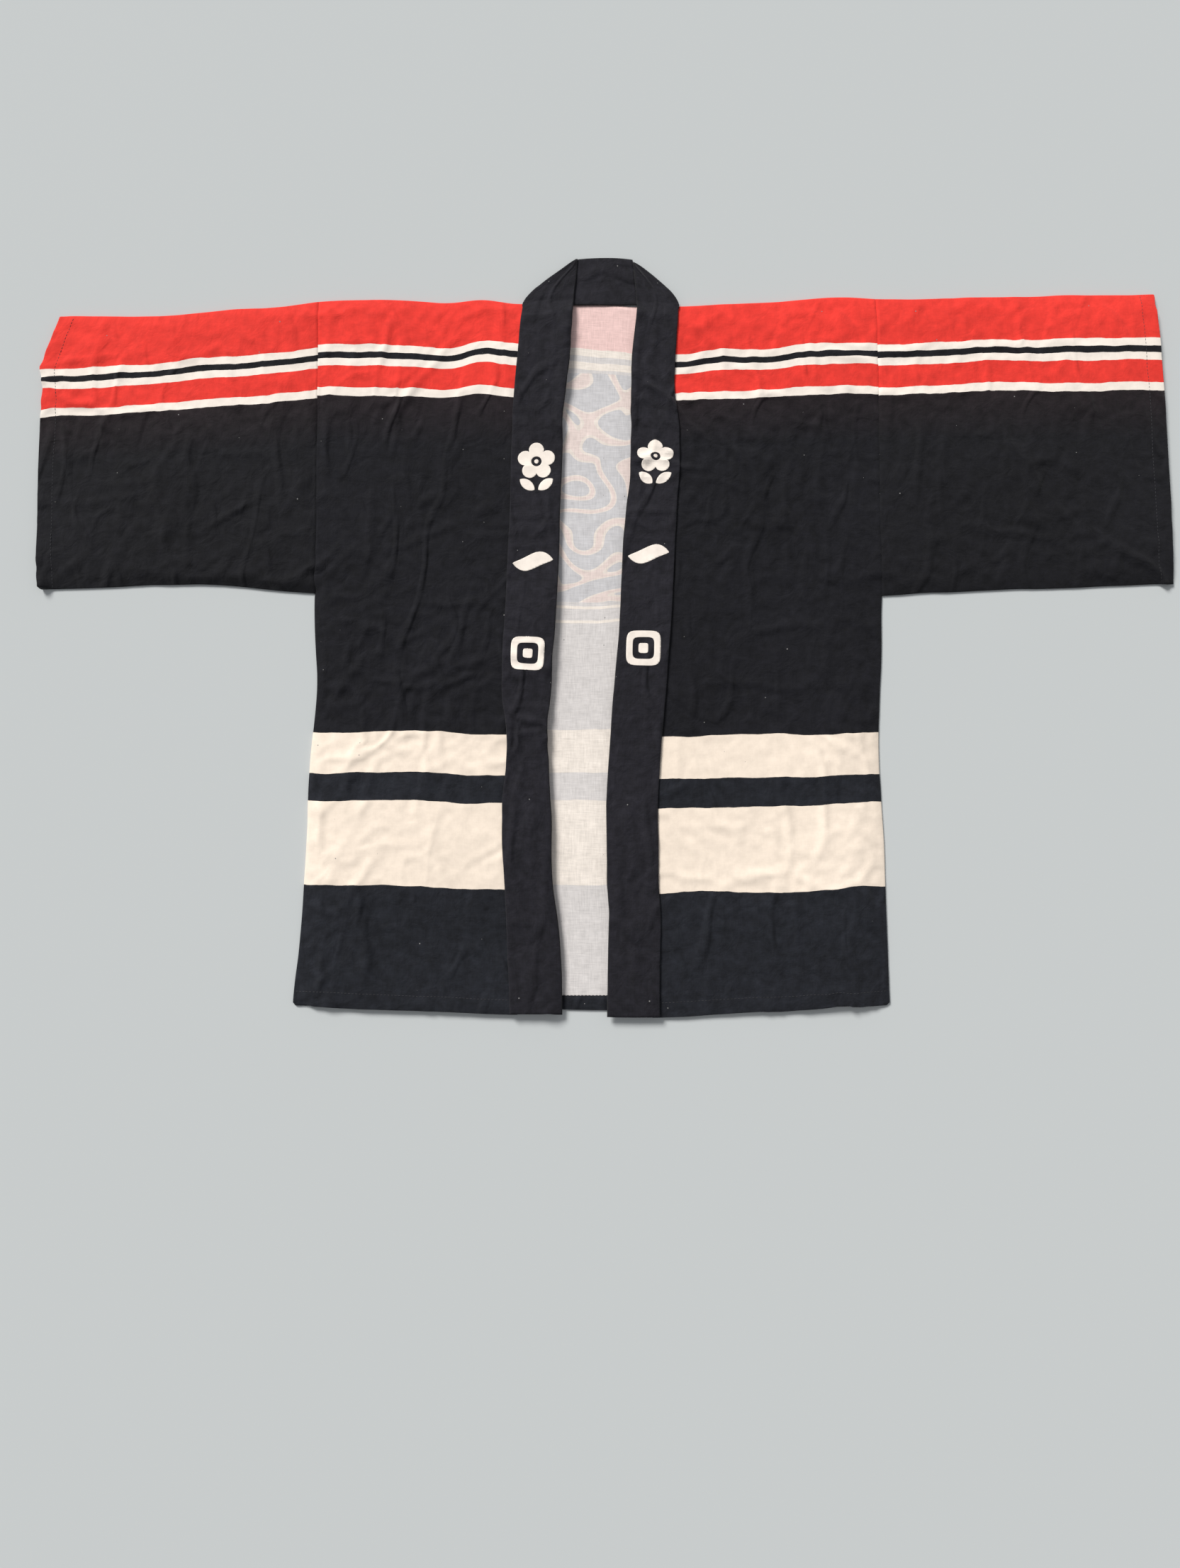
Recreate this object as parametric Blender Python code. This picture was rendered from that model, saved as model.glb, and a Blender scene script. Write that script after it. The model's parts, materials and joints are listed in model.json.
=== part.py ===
"""A festival coat (happi) laid flat on its back, front up and fronts closed.

+X runs to the wearer's left, +Y from the hem to the collar, +Z up from the surface it lies on.
Each cloth panel is a thin solid that ends at a seam or a fold, so that the coat stays open
inside: a body, two sleeves and two lower fronts that turn back along a diagonal.
Sizes are in metres. Heights on the cloth are measured up from the lowest point of the hem.
"""

import math

import bpy

# The cloth and how high it lies.
CLOTH = 0.0012  # one layer, with the air that lies in its weave and creases
AIR = 0.008  # between the back and the fronts
GAP = 0.0003  # between neighbouring solids
FOLD_DEPTH = 0.005  # cloth rolled round at a folded edge
SEAM = 0.009  # seam allowance along the sides and under the arms

# The body.
BODY_LENGTH = 0.742  # shoulder to hem
BODY_WIDTH = 0.587  # across the armholes
WAIST_TAKEN_IN = 0.007  # narrower than the body there
HEM_FLARE = 0.011  # wider than the body there
WAIST_HEIGHT = 0.245
ARMHOLE_DEPTH = 0.315
HEM_RISE = 0.008  # the hem's side corners lie this much higher than its middle
BACK_HEM = 0.003  # the back's hem lies this much above the fronts' lowest point
HEM_TURN = 0.016  # cloth turned up and stitched at the hem
LEAN = 0.009  # the hem's middle lies this far to the wearer's right of the shoulders' middle

# The sleeves, and how each one happens to lie.
SLEEVE_LENGTH = 0.294
CUFF_DEPTH = 0.301
CUFF_TURN = 0.017
LAY = {
    "right": {"out": -1, "longer": -0.005, "deeper": -0.008, "tilt": math.radians(-1.2), "slump": 0.020},
    "left": {"out": 1, "longer": 0.005, "deeper": 0.008, "tilt": math.radians(1.8), "slump": 0.002},
}
SLUMP_HEIGHT = 0.057  # how far down the cuff its top corner is pulled in

# The collar: one folded band round the neck and down both fronts.
COLLAR_WIDTH = 0.052
COLLAR_SHIFT = 0.003  # the collar lies this far to the wearer's left of the armholes' middle
NECK_WIDTH = 0.058  # of the stretch behind the neck
NECKLINE_DROP = 0.005  # back neckline below the shoulder line
NECK_DIP = 0.002  # the collar's top edge sags this much behind the neck
# Height, and how far each front edge lies from the collar's middle there.
FRONT_EDGES = (
    (BODY_LENGTH - NECKLINE_DROP, -0.0335, 0.0335),
    (0.620, -0.0445, 0.0245),
    (0.380, -0.0528, 0.0156),
    (0.210, -0.0550, 0.0045),
    (0.000, -0.0465, 0.0014),
)
COLLAR_CORNER = (0.80, 0.30)  # where its outer edge bends at the shoulder, as shares of reach and rise

# The diagonal along which a lower front turns back, from the front edge to the hem's corner.
TURN_HEIGHT = 0.412

FRONT_LOW = CLOTH + AIR
TOP = FRONT_LOW + CLOTH
DOUBLE = 2 * CLOTH  # hems and collar are two layers
COLLAR_TOP = BODY_LENGTH - NECKLINE_DROP + COLLAR_WIDTH

COLOURS = {
    "body_cloth": (0.018, 0.018, 0.022),
    "sleeve_cloth": (0.016, 0.016, 0.018),
    "collar_cloth": (0.028, 0.028, 0.031),
    "hem_cloth": (0.020, 0.020, 0.024),
}


def between(stations, height):
    """The values of a list of (height, value, ...) rows, highest first, at a height."""
    for upper, lower in zip(stations, stations[1:]):
        if height >= lower[0] or lower is stations[-1]:
            share = (height - lower[0]) / (upper[0] - lower[0])
            return [low + (high - low) * share for high, low in zip(upper[1:], lower[1:])]
    return list(stations[0][1:])


def middle(height):
    return -LEAN * (1 - height / BODY_LENGTH)


def body_side(side, height):
    """The x of the body's side seam, or above the underarm of its armhole seam."""
    out = LAY[side]["out"]
    underarm = BODY_LENGTH - ARMHOLE_DEPTH
    if height >= underarm:
        return middle(underarm) + out * BODY_WIDTH / 2
    widths = (
        (underarm, BODY_WIDTH),
        (WAIST_HEIGHT, BODY_WIDTH - WAIST_TAKEN_IN),
        (0.0, BODY_WIDTH + HEM_FLARE),
    )
    return middle(height) + out * between(widths, height)[0] / 2


def front_edge(side, height):
    edges = between(FRONT_EDGES, height)
    return COLLAR_SHIFT + edges[0 if side == "right" else 1]


def collar_seam(side, height):
    return front_edge(side, height) + LAY[side]["out"] * COLLAR_WIDTH


def moved(points, x=0.0, y=0.0):
    return [(px + x, py + y) for px, py in points]


def clipped(points, start, end, keep_left):
    """The part of a convex outline on one side of the line from start to end, half a gap short of it."""
    along = (end[0] - start[0], end[1] - start[1])
    length = math.hypot(*along)
    side = 1 if keep_left else -1

    def clear(p):
        cross = along[0] * (p[1] - start[1]) - along[1] * (p[0] - start[0])
        return side * cross / length - GAP / 2

    kept = []
    for a, b in zip(points, points[1:] + points[:1]):
        from_a, from_b = clear(a), clear(b)
        if from_a >= 0:
            kept.append(a)
        if from_a * from_b < 0:
            share = from_a / (from_a - from_b)
            kept.append((a[0] + (b[0] - a[0]) * share, a[1] + (b[1] - a[1]) * share))
    return kept


def turn_line(side):
    """Both ends of a lower front's fold: on the front edge, and at the hem's side corner."""
    return (
        (front_edge(side, TURN_HEIGHT), TURN_HEIGHT),
        (body_side(side, HEM_RISE), HEM_RISE),
    )


def back_pieces():
    """The back from hem to shoulders, and its turned hem."""
    under = BODY_LENGTH - ARMHOLE_DEPTH
    heights = (under, WAIST_HEIGHT)
    right = [(body_side("right", h), h) for h in heights]
    left = [(body_side("left", h), h) for h in heights]
    corners = [(body_side(side, HEM_RISE), HEM_RISE) for side in LAY]
    hem = [corners[0], (middle(0), BACK_HEM), corners[1]]
    neck_low = BODY_LENGTH - NECKLINE_DROP
    neck = [
        (COLLAR_SHIFT + NECK_WIDTH / 2, BODY_LENGTH),
        (COLLAR_SHIFT + NECK_WIDTH / 2, neck_low),
        (COLLAR_SHIFT - NECK_WIDTH / 2, neck_low),
        (COLLAR_SHIFT - NECK_WIDTH / 2, BODY_LENGTH),
    ]
    tops = [(body_side(side, BODY_LENGTH), BODY_LENGTH) for side in LAY]
    turned = moved(hem, y=HEM_TURN)
    panel = [tops[0]] + right + moved(turned, y=GAP) + left[::-1] + [tops[1]] + neck
    yield "back_panel", panel, 0, CLOTH, "body_cloth"
    yield "back_hem", hem + turned[::-1], 0, DOUBLE, "hem_cloth"


def front_pieces(side):
    """One front: its upper part, its lower part, and the hem turned up along it."""
    out = LAY[side]["out"]
    start, end = turn_line(side)
    upper_is_left = out > 0
    under = BODY_LENGTH - ARMHOLE_DEPTH
    shoulder = BODY_LENGTH

    def beside_collar(height):
        return (collar_seam(side, height) + out * GAP, height)

    top_seam = beside_collar(shoulder)
    seam = [beside_collar(row[0]) for row in FRONT_EDGES[:-1]]
    low_seam = beside_collar(0)
    side_corner = (body_side(side, HEM_RISE), HEM_RISE)
    panel = [top_seam, (body_side(side, shoulder), shoulder), (body_side(side, under), under)]
    panel += [(body_side(side, WAIST_HEIGHT), WAIST_HEIGHT), side_corner, low_seam] + seam[::-1]
    upper = clipped(panel, start, end, upper_is_left)
    yield f"{side}_front_upper", upper, FRONT_LOW, TOP, "body_cloth"
    turned_low = beside_collar(HEM_TURN)
    turned_side = (side_corner[0], HEM_RISE + HEM_TURN)
    above_hem = moved([turned_low, turned_side], y=GAP)
    above_hem += [(body_side(side, WAIST_HEIGHT), WAIST_HEIGHT), top_seam] + seam
    lower = clipped(above_hem, start, end, not upper_is_left)
    yield f"{side}_front_lower", lower, FRONT_LOW, TOP, "body_cloth"
    hem = clipped([low_seam, side_corner, turned_side, turned_low], start, end, not upper_is_left)
    yield f"{side}_front_hem", hem, TOP - DOUBLE, TOP, "hem_cloth"


def collar_pieces(side):
    """One side of the collar: the turn over the shoulder, and the front length cut at the fold line."""
    out = LAY[side]["out"]
    start, end = turn_line(side)
    upper_is_left = out > 0
    heights = [row[0] for row in FRONT_EDGES]
    inner = [(front_edge(side, h), h) for h in heights]
    outer = [(collar_seam(side, h), h) for h in heights]
    band = inner + outer[::-1]
    upper = clipped(band, start, end, upper_is_left)
    lower = clipped(band, start, end, not upper_is_left)
    yield f"{side}_collar_upper", upper, TOP - DOUBLE, TOP, "collar_cloth"
    yield f"{side}_collar_lower", lower, TOP - DOUBLE, TOP, "collar_cloth"
    foot = heights[0] + GAP
    neck_x = COLLAR_SHIFT + out * (NECK_WIDTH / 2 + GAP)
    reach = abs(outer[0][0] - neck_x)
    rise = COLLAR_TOP - BODY_LENGTH
    corner = (neck_x + out * reach * COLLAR_CORNER[0], BODY_LENGTH + rise * COLLAR_CORNER[1])
    turn = [(neck_x, foot), (neck_x, COLLAR_TOP), corner, (outer[0][0], foot)]
    yield f"{side}_collar_turn", turn, TOP - DOUBLE, TOP, "collar_cloth"
    above_fold = BODY_LENGTH + GAP
    roll = [(neck_x, above_fold), (neck_x, COLLAR_TOP), corner, (outer[0][0], above_fold)]
    yield f"{side}_collar_roll", roll, 0, TOP - DOUBLE - GAP, "collar_cloth"


def edge_pieces(side):
    """The rolled cloth along a shoulder that joins front to back, and the side seam's allowance."""
    out = LAY[side]["out"]
    low, high = CLOTH + GAP, FRONT_LOW - GAP
    inner = COLLAR_SHIFT + out * (NECK_WIDTH / 2 + SEAM)
    shoulder = [
        (inner, BODY_LENGTH - FOLD_DEPTH),
        (body_side(side, BODY_LENGTH), BODY_LENGTH - FOLD_DEPTH),
        (body_side(side, BODY_LENGTH), BODY_LENGTH),
        (inner, BODY_LENGTH),
    ]
    yield f"{side}_shoulder_fold", shoulder, low, TOP - DOUBLE - GAP, "body_cloth"
    foot = HEM_RISE + HEM_TURN + GAP
    heights = (BODY_LENGTH - ARMHOLE_DEPTH, WAIST_HEIGHT, foot)
    outside = [(body_side(side, h), h) for h in heights]
    yield f"{side}_side_seam", outside + moved(outside[::-1], x=-out * SEAM), low, high, "body_cloth"


def sleeve_outline(side):
    """A sleeve's corners: shoulder, cuff top, cuff shoulder, cuff bottom, underarm."""
    lay = LAY[side]
    out = lay["out"]
    root = body_side(side, BODY_LENGTH) + out * GAP
    length = SLEEVE_LENGTH + lay["longer"]
    depth = CUFF_DEPTH + lay["deeper"]
    across = (math.sin(lay["tilt"]), math.cos(lay["tilt"]))
    centre = (root + out * length * math.cos(lay["tilt"]),
              BODY_LENGTH - ARMHOLE_DEPTH / 2 + length * math.sin(lay["tilt"]))

    def cuff(up, inward=0.0):
        return (centre[0] - out * (up * across[0] + inward), centre[1] + up * across[1])

    return {
        "shoulder": (root, BODY_LENGTH),
        "top": cuff(depth / 2, lay["slump"]),
        "bend": cuff(depth / 2 - SLUMP_HEIGHT),
        "bottom": cuff(-depth / 2),
        "underarm": (root, BODY_LENGTH - ARMHOLE_DEPTH),
    }


def sleeve_pieces(side):
    """A sleeve, as the body's two layers carried on: panels, turned cuffs, fold and underarm seam."""
    out = LAY[side]["out"]
    at = sleeve_outline(side)
    inside = [moved([at[key]], x=-out * CUFF_TURN)[0] for key in ("top", "bend", "bottom")]
    cuff = [at["top"], at["bend"], at["bottom"]] + inside[::-1]
    panel = [at["shoulder"]] + moved(inside, x=-out * GAP) + [at["underarm"]]
    yield f"{side}_sleeve_back", panel, 0, CLOTH, "sleeve_cloth"
    yield f"{side}_sleeve_front", panel, FRONT_LOW, TOP, "sleeve_cloth"
    yield f"{side}_cuff_back", cuff, 0, DOUBLE, "sleeve_cloth"
    yield f"{side}_cuff_front", cuff, TOP - DOUBLE, TOP, "sleeve_cloth"
    low, high = CLOTH + GAP, FRONT_LOW - GAP
    top_edge, low_edge = [panel[0], panel[1]], [panel[-1], panel[-2]]
    fold = top_edge + moved(top_edge[::-1], y=-FOLD_DEPTH)
    yield f"{side}_sleeve_fold", fold, low, high, "sleeve_cloth"
    seam = low_edge + moved(low_edge[::-1], y=SEAM)
    yield f"{side}_underarm_seam", seam, low, high, "sleeve_cloth"


def neck_pieces():
    """The stretch of collar behind the neck, lying flat beyond the back neckline."""
    low = BODY_LENGTH + GAP
    half = NECK_WIDTH / 2
    band = [
        (COLLAR_SHIFT - half, low),
        (COLLAR_SHIFT - half, COLLAR_TOP),
        (COLLAR_SHIFT, COLLAR_TOP - NECK_DIP),
        (COLLAR_SHIFT + half, COLLAR_TOP),
        (COLLAR_SHIFT + half, low),
    ]
    yield "neck_collar", band, 0, DOUBLE, "collar_cloth"


def all_pieces():
    yield from back_pieces()
    yield from neck_pieces()
    for side in LAY:
        yield from edge_pieces(side)
        yield from front_pieces(side)
        yield from collar_pieces(side)
        yield from sleeve_pieces(side)


def material(slot):
    """The dyed cotton of one part of the coat."""
    found = bpy.data.materials.get(slot)
    if found:
        return found
    made = bpy.data.materials.new(slot)
    made.use_nodes = True
    shader = made.node_tree.nodes["Principled BSDF"]
    shader.inputs["Base Color"].default_value = (*COLOURS[slot], 1)
    shader.inputs["Roughness"].default_value = 0.9
    shader.inputs["Metallic"].default_value = 0.0
    return made


def flat_piece(name, outline, low, high, slot, origin, collection):
    """A cloth panel: a filled flat curve, as thick as its extrusion."""
    curve = bpy.data.curves.new(name, "CURVE")
    curve.dimensions = "2D"
    curve.fill_mode = "BOTH"
    curve.extrude = (high - low) / 2
    spline = curve.splines.new("POLY")
    spline.points.add(len(outline) - 1)
    for point, (x, y) in zip(spline.points, outline):
        point.co = (x - origin[0], y - origin[1], 0, 1)
    spline.use_cyclic_u = True
    curve.materials.append(material(slot))
    piece = bpy.data.objects.new(name, curve)
    piece.location.z = (low + high) / 2
    collection.objects.link(piece)


def origin_of(pieces):
    """The middle of the whole coat's outline, which stands at the frame's origin."""
    corners = [point for piece in pieces for point in piece[1]]
    return [(min(axis) + max(axis)) / 2 for axis in zip(*corners)]


def main():
    for old in list(bpy.data.objects):
        bpy.data.objects.remove(old)
    collection = bpy.data.collections.new("festival_coat")
    bpy.context.scene.collection.children.link(collection)
    pieces = list(all_pieces())
    origin = origin_of(pieces)
    for name, outline, low, high, slot in pieces:
        flat_piece(name, outline, low, high, slot, origin, collection)


main()
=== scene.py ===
"""Festival coat (happi) lying flat, front up: the cloth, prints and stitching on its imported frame."""

import json
import math

import bmesh
import bpy
import numpy as np
from bpy.props import FloatProperty, FloatVectorProperty, IntProperty, PointerProperty, StringProperty
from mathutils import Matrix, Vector
from mathutils.bvhtree import BVHTree


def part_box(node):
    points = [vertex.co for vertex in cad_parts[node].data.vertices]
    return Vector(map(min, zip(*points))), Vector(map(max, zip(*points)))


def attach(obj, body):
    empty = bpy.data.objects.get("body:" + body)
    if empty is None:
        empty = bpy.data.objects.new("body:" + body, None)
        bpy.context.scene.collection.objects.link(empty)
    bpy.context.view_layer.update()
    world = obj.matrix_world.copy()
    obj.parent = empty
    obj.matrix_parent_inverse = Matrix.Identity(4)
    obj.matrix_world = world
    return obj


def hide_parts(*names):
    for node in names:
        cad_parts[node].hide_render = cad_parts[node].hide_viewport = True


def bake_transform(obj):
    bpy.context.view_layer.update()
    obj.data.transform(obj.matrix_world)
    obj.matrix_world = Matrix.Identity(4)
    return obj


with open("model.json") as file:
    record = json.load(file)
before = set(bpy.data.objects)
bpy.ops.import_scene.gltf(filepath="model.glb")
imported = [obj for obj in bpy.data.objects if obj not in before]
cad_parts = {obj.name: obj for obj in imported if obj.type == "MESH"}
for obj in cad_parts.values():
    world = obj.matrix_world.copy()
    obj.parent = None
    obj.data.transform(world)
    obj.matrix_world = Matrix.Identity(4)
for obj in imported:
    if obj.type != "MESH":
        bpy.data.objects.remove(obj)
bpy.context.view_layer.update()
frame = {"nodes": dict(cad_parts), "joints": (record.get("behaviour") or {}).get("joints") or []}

bl_info = {
    "name": "Festival Coat",
    "version": (1, 0, 0),
    "blender": (4, 5, 0),
    "location": "View3D > Sidebar > Coat",
    "description": "Lays a printed cotton festival coat over its packed frame",
    "category": "Object",
}

SIDES = ("right", "left")  # the wearer's; +X is to the wearer's left
OUT = {"right": -1, "left": 1}
ROLLED_UNDER = {"right": 0.0, "left": 0.0095}  # how much of the collar's width curls under at the shoulder
COAT = "coat_body"
FOLD = 0.0015  # radius of the cloth's roll at a folded edge
SEAM = 0.0007  # and at a seamed one
HEM = 0.0006  # and at a turned hem
HEM_GAP = 0.00055  # half way between a hem's two layers
FRONT_WIDTH = 0.215  # across a front; its columns of points are spaced for it


# ---------------------------------------------------------------- the frame's outlines


def crossings(nodes, axis):
    """Where CAD panels begin and end along one axis, at places along the other: (places, low, high)."""
    across, along = (0, 1) if axis == "x" else (1, 0)
    edges = []
    for node in nodes:
        mesh = frame["nodes"][node].data
        points = np.array([v.co[:2] for v in mesh.vertices])
        pairs = np.array([e.vertices[:] for e in mesh.edges])
        edges.append(points[pairs])
    ends = np.concatenate(edges)
    places = np.linspace(ends[..., along].min(), ends[..., along].max(), 1601)
    low, high = np.full(len(places), np.inf), np.full(len(places), -np.inf)
    for a, b in ends:
        if abs(a[along] - b[along]) < 1e-6:
            continue
        share = (places - a[along]) / (b[along] - a[along])
        inside = (share >= -1e-6) & (share <= 1 + 1e-6)
        value = a[across] + share * (b[across] - a[across])
        low[inside] = np.minimum(low, value)[inside]
        high[inside] = np.maximum(high, value)[inside]
    known = np.isfinite(low)
    return places[known], low[known], high[known]


def edge_function(nodes, axis, end):
    places, low, high = crossings(nodes, axis)
    values = high if end == "high" else low
    return lambda at: np.interp(at, places, values)


class Outline:
    """One half of the coat's edges, read from the CAD panels."""

    def __init__(self, side):
        out = OUT[side]
        outer, inner = ("low", "high") if out < 0 else ("high", "low")
        front = [f"{side}_front_{part}" for part in ("upper", "lower", "hem")]
        collar = [f"{side}_collar_{part}" for part in ("upper", "lower")]
        sleeve = [f"{side}_sleeve_front", f"{side}_cuff_front"]
        corner = [v.co for v in frame["nodes"][f"{side}_front_hem"].data.vertices]
        self.hem_corner = max(corner, key=lambda p: (round(p.x * out, 5), -p.y)).copy()
        seam = edge_function(front, "x", outer)
        self.side_seam = lambda y: seam(np.maximum(y, self.hem_corner.y))
        sewn = edge_function(collar, "x", outer)
        self.collar_seam = lambda y: sewn(y) - out * ROLLED_UNDER[side] * np.clip((y - 0.16) / 0.18, 0, 1)
        self.front_edge = edge_function(collar, "x", inner)
        self.hem = edge_function(front[2:], "y", "low")
        self.collar_hem = float(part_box(f"{side}_collar_lower")[0].y)
        self.shoulder = float(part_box(f"{side}_front_upper")[1].y)
        self.underarm = float(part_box(f"{side}_sleeve_front")[0].y)
        boxes = [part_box(node) for node in sleeve]
        self.armhole = float(boxes[0][1].x if out < 0 else boxes[0][0].x)
        self.sleeve_top = edge_function(sleeve, "y", "high")
        self.sleeve_bottom = edge_function(sleeve, "y", "low")
        self.cuff = edge_function(sleeve, "x", outer)
        reach = [v.co for v in frame["nodes"][f"{side}_cuff_front"].data.vertices]
        self.cuff_high = max(p.y for p in reach)
        self.cuff_low = min(p.y for p in reach)
        turn = [v.co for v in frame["nodes"][f"{side}_collar_turn"].data.vertices]
        self.neck_x = min((p.x for p in turn), key=abs)
        self.neck_top = max(p.y for p in turn)
        self.neck_foot = min(p.y for p in turn)
        self.turn_corner = max(
            (p for p in turn if p.y > self.neck_foot + 0.01), key=lambda p: p.x * out - 0.001 * p.y
        ) - Vector((out * ROLLED_UNDER[side] * 0.6, 0, 0))
        joint = next(j for j in frame["joints"] if j["name"] == f"{side}_front_turn")
        self.turn_at = Vector(joint["pos_m"])
        axis = Vector(joint["axis"])
        away = Vector((axis.y, -axis.x, 0)).normalized()
        self.turn_away = away if away.y < 0 else -away

    def closed_edges(self):
        """The folded edge from neck to cuff and the seamed edge from cuff to hem, as polylines."""
        cuff_top = (float(self.cuff(self.cuff_high)), self.cuff_high)
        cuff_foot = (float(self.cuff(self.cuff_low)), self.cuff_low)
        heights = np.linspace(self.underarm, self.hem_corner.y, 9)
        fold = [(self.neck_x, self.shoulder), (self.armhole, self.shoulder), cuff_top]
        seam = [cuff_foot, (self.armhole, self.underarm)]
        seam += [(float(self.side_seam(y)), float(y)) for y in heights]
        return fold, seam


OUTLINES = {side: Outline(side) for side in SIDES}
BACK_HEM = edge_function(["back_hem", "back_panel"], "y", "low")


# ---------------------------------------------------------------- how the cloth lies


def lattice(seed, size=64):
    return np.random.default_rng(seed).uniform(-1, 1, (size, size))


def ripple(x, y, length, seed):
    """Smooth noise from -1 to 1, with hills about one length apart."""
    grid = lattice(seed)
    size = len(grid)
    u, v = np.asarray(x) / length + 17.3, np.asarray(y) / length + 31.7
    i, j = np.floor(u).astype(int), np.floor(v).astype(int)
    a, b = u - i, v - j
    a, b = a**3 * (a * (6 * a - 15) + 10), b**3 * (b * (6 * b - 15) + 10)
    i0, i1, j0, j1 = i % size, (i + 1) % size, j % size, (j + 1) % size
    low = grid[i0, j0] * (1 - a) + grid[i1, j0] * a
    high = grid[i0, j1] * (1 - a) + grid[i1, j1] * a
    return low * (1 - b) + high * b


def rise(share):
    share = np.clip(share, 0, 1)
    return share * share * (3 - 2 * share)


def distance_to(line, x, y):
    """Distance from points to a polyline."""
    best = np.full(np.shape(x), np.inf)
    for (ax, ay), (bx, by) in zip(line, line[1:]):
        dx, dy = bx - ax, by - ay
        share = np.clip(((x - ax) * dx + (y - ay) * dy) / max(dx * dx + dy * dy, 1e-12), 0, 1)
        best = np.minimum(best, np.hypot(x - ax - share * dx, y - ay - share * dy))
    return best


CLOSED = [OUTLINES[side].closed_edges() for side in SIDES]


def edge_distances(x, y):
    """How far points are from the nearest folded edge and from the nearest seamed one."""
    fold = np.minimum(*(distance_to(pair[0], x, y) for pair in CLOSED))
    seam = np.minimum(*(distance_to(pair[1], x, y) for pair in CLOSED))
    return fold, seam


# Where the laid cloth is drawn out of true: x, y, reach along x, reach along y, shift in x, shift in y (mm).
PULLS = (
    (-125, 292, 26, 60, 0, 7.0),
    (-165, 285, 34, 60, 0, -4.5),
    (-90, 350, 45, 40, 0, -5.0),
    (78, 300, 62, 90, 0, -8.0),
    (170, 290, 40, 60, 0, -2.5),
    (245, 330, 40, 60, 0, 3.5),
    (-465, 345, 62, 90, 0, -8.0),
    (-350, 345, 48, 70, 0, -5.0),
    (-425, 40, 95, 60, 0, 8.0),
    (-104, -128, 20, 55, 8.0, 0),
    (-48, -262, 22, 45, -5.0, 0),
    (-292, -385, 30, 40, -4.0, 0),
    (-290, -160, 25, 40, -3.5, 0),
    (-420, 170, 80, 90, 2.0, 1.5),
    (430, 200, 90, 80, -2.0, 1.5),
    (-295, -60, 24, 45, 3.0, 0),
    (283, -95, 22, 55, -2.5, 0),
    (-250, -330, 45, 50, -3.0, 0),
    (-50, -160, 40, 60, -2.0, 0),
    (180, -190, 140, 120, 0, -3.0),
    (-160, -190, 140, 120, 0, 1.5),
)


def drawn(x, y):
    """The in-plane shift of the cloth: soft wavering, and the places where it is pulled."""
    style = bpy.context.scene.coat_lay
    waver = style.waver
    dx = waver * (ripple(x, y, 0.085, 3) + 0.45 * ripple(x, y, 0.034, 4))
    dy = waver * (1.1 * ripple(x, y, 0.075, 5) + 0.5 * ripple(x, y, 0.031, 6))
    for px, py, rx, ry, sx, sy in PULLS:
        weight = np.exp(-(((x * 1000 - px) / rx) ** 2) - ((y * 1000 - py) / ry) ** 2)
        dx = dx + weight * sx / 1000
        dy = dy + weight * sy / 1000
    return dx, dy


# Families of creases: middle x, y, spread x, y, direction and its spread (degrees), length, width,
# height (mm), count.
CREASES = (
    (-230, 150, 55, 110, 62, 14, 120, 4.5, 1.1, 12),
    (-150, 60, 60, 120, 100, 16, 110, 5.0, 0.9, 10),
    (220, 150, 60, 110, 112, 16, 110, 4.5, 1.0, 12),
    (150, 60, 60, 110, 80, 18, 100, 5.0, 0.9, 10),
    (-200, -70, 70, 60, 30, 25, 90, 5.0, 0.9, 9),
    (190, -70, 70, 60, 150, 25, 90, 5.0, 0.9, 9),
    (-190, -230, 80, 90, 80, 22, 90, 6.0, 1.1, 10),
    (180, -230, 80, 90, 98, 22, 90, 6.0, 1.1, 10),
    (-190, -350, 90, 30, 86, 14, 60, 5.0, 0.9, 8),
    (170, -350, 90, 30, 94, 14, 60, 5.0, 0.9, 8),
    (-430, 180, 100, 100, 70, 38, 90, 5.0, 1.0, 16),
    (440, 200, 100, 100, 110, 38, 90, 5.0, 1.0, 16),
    (-440, 90, 100, 30, 10, 18, 80, 5.0, 0.8, 6),
    (440, 90, 100, 30, 170, 18, 80, 5.0, 0.8, 6),
)


def creases(x, y):
    """Ridges where the cloth has creased, each a tapering line with a hollow beside it."""
    rng = np.random.default_rng(11)
    total = np.zeros(np.shape(x))
    for mx, my, sx, sy, turn, spread, length, width, height, count in CREASES:
        for _ in range(count):
            cx, cy = (mx + sx * rng.normal()) / 1000, (my + sy * rng.normal()) / 1000
            angle = math.radians(turn + spread * rng.normal())
            long = length / 2000 * rng.uniform(0.5, 1.3)
            wide = width / 1000 * rng.uniform(0.7, 1.5)
            high = height / 1000 * rng.uniform(0.4, 1.2) * rng.choice((1, 1, -0.8))
            bow = rng.normal() * 1.6
            along = (x - cx) * math.cos(angle) + (y - cy) * math.sin(angle)
            beside = -(x - cx) * math.sin(angle) + (y - cy) * math.cos(angle)
            beside = beside + bow * along * along
            near = np.exp(-((along / long) ** 2) * 1.6)
            total = total + high * near * (
                np.exp(-((beside / wide) ** 2)) - 0.45 * np.exp(-(((beside - 1.8 * wide) / (1.6 * wide)) ** 2))
            )
    return total


def crackle(x, y):
    """Fine sharp creases in a loose net, as in cotton that was folded away."""
    bent = 0.012 * ripple(x, y, 0.06, 41)
    patch = 0.35 + 0.65 * rise(0.5 + 0.9 * ripple(x, y, 0.12, 42))
    coarse = (1 - np.abs(ripple(x + bent, 0.6 * y - bent, 0.036, 43))) ** 7
    fine = (1 - np.abs(ripple(0.7 * x - bent, y + bent, 0.02, 44))) ** 6
    return patch * (0.0011 * coarse + 0.0004 * fine)


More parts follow.
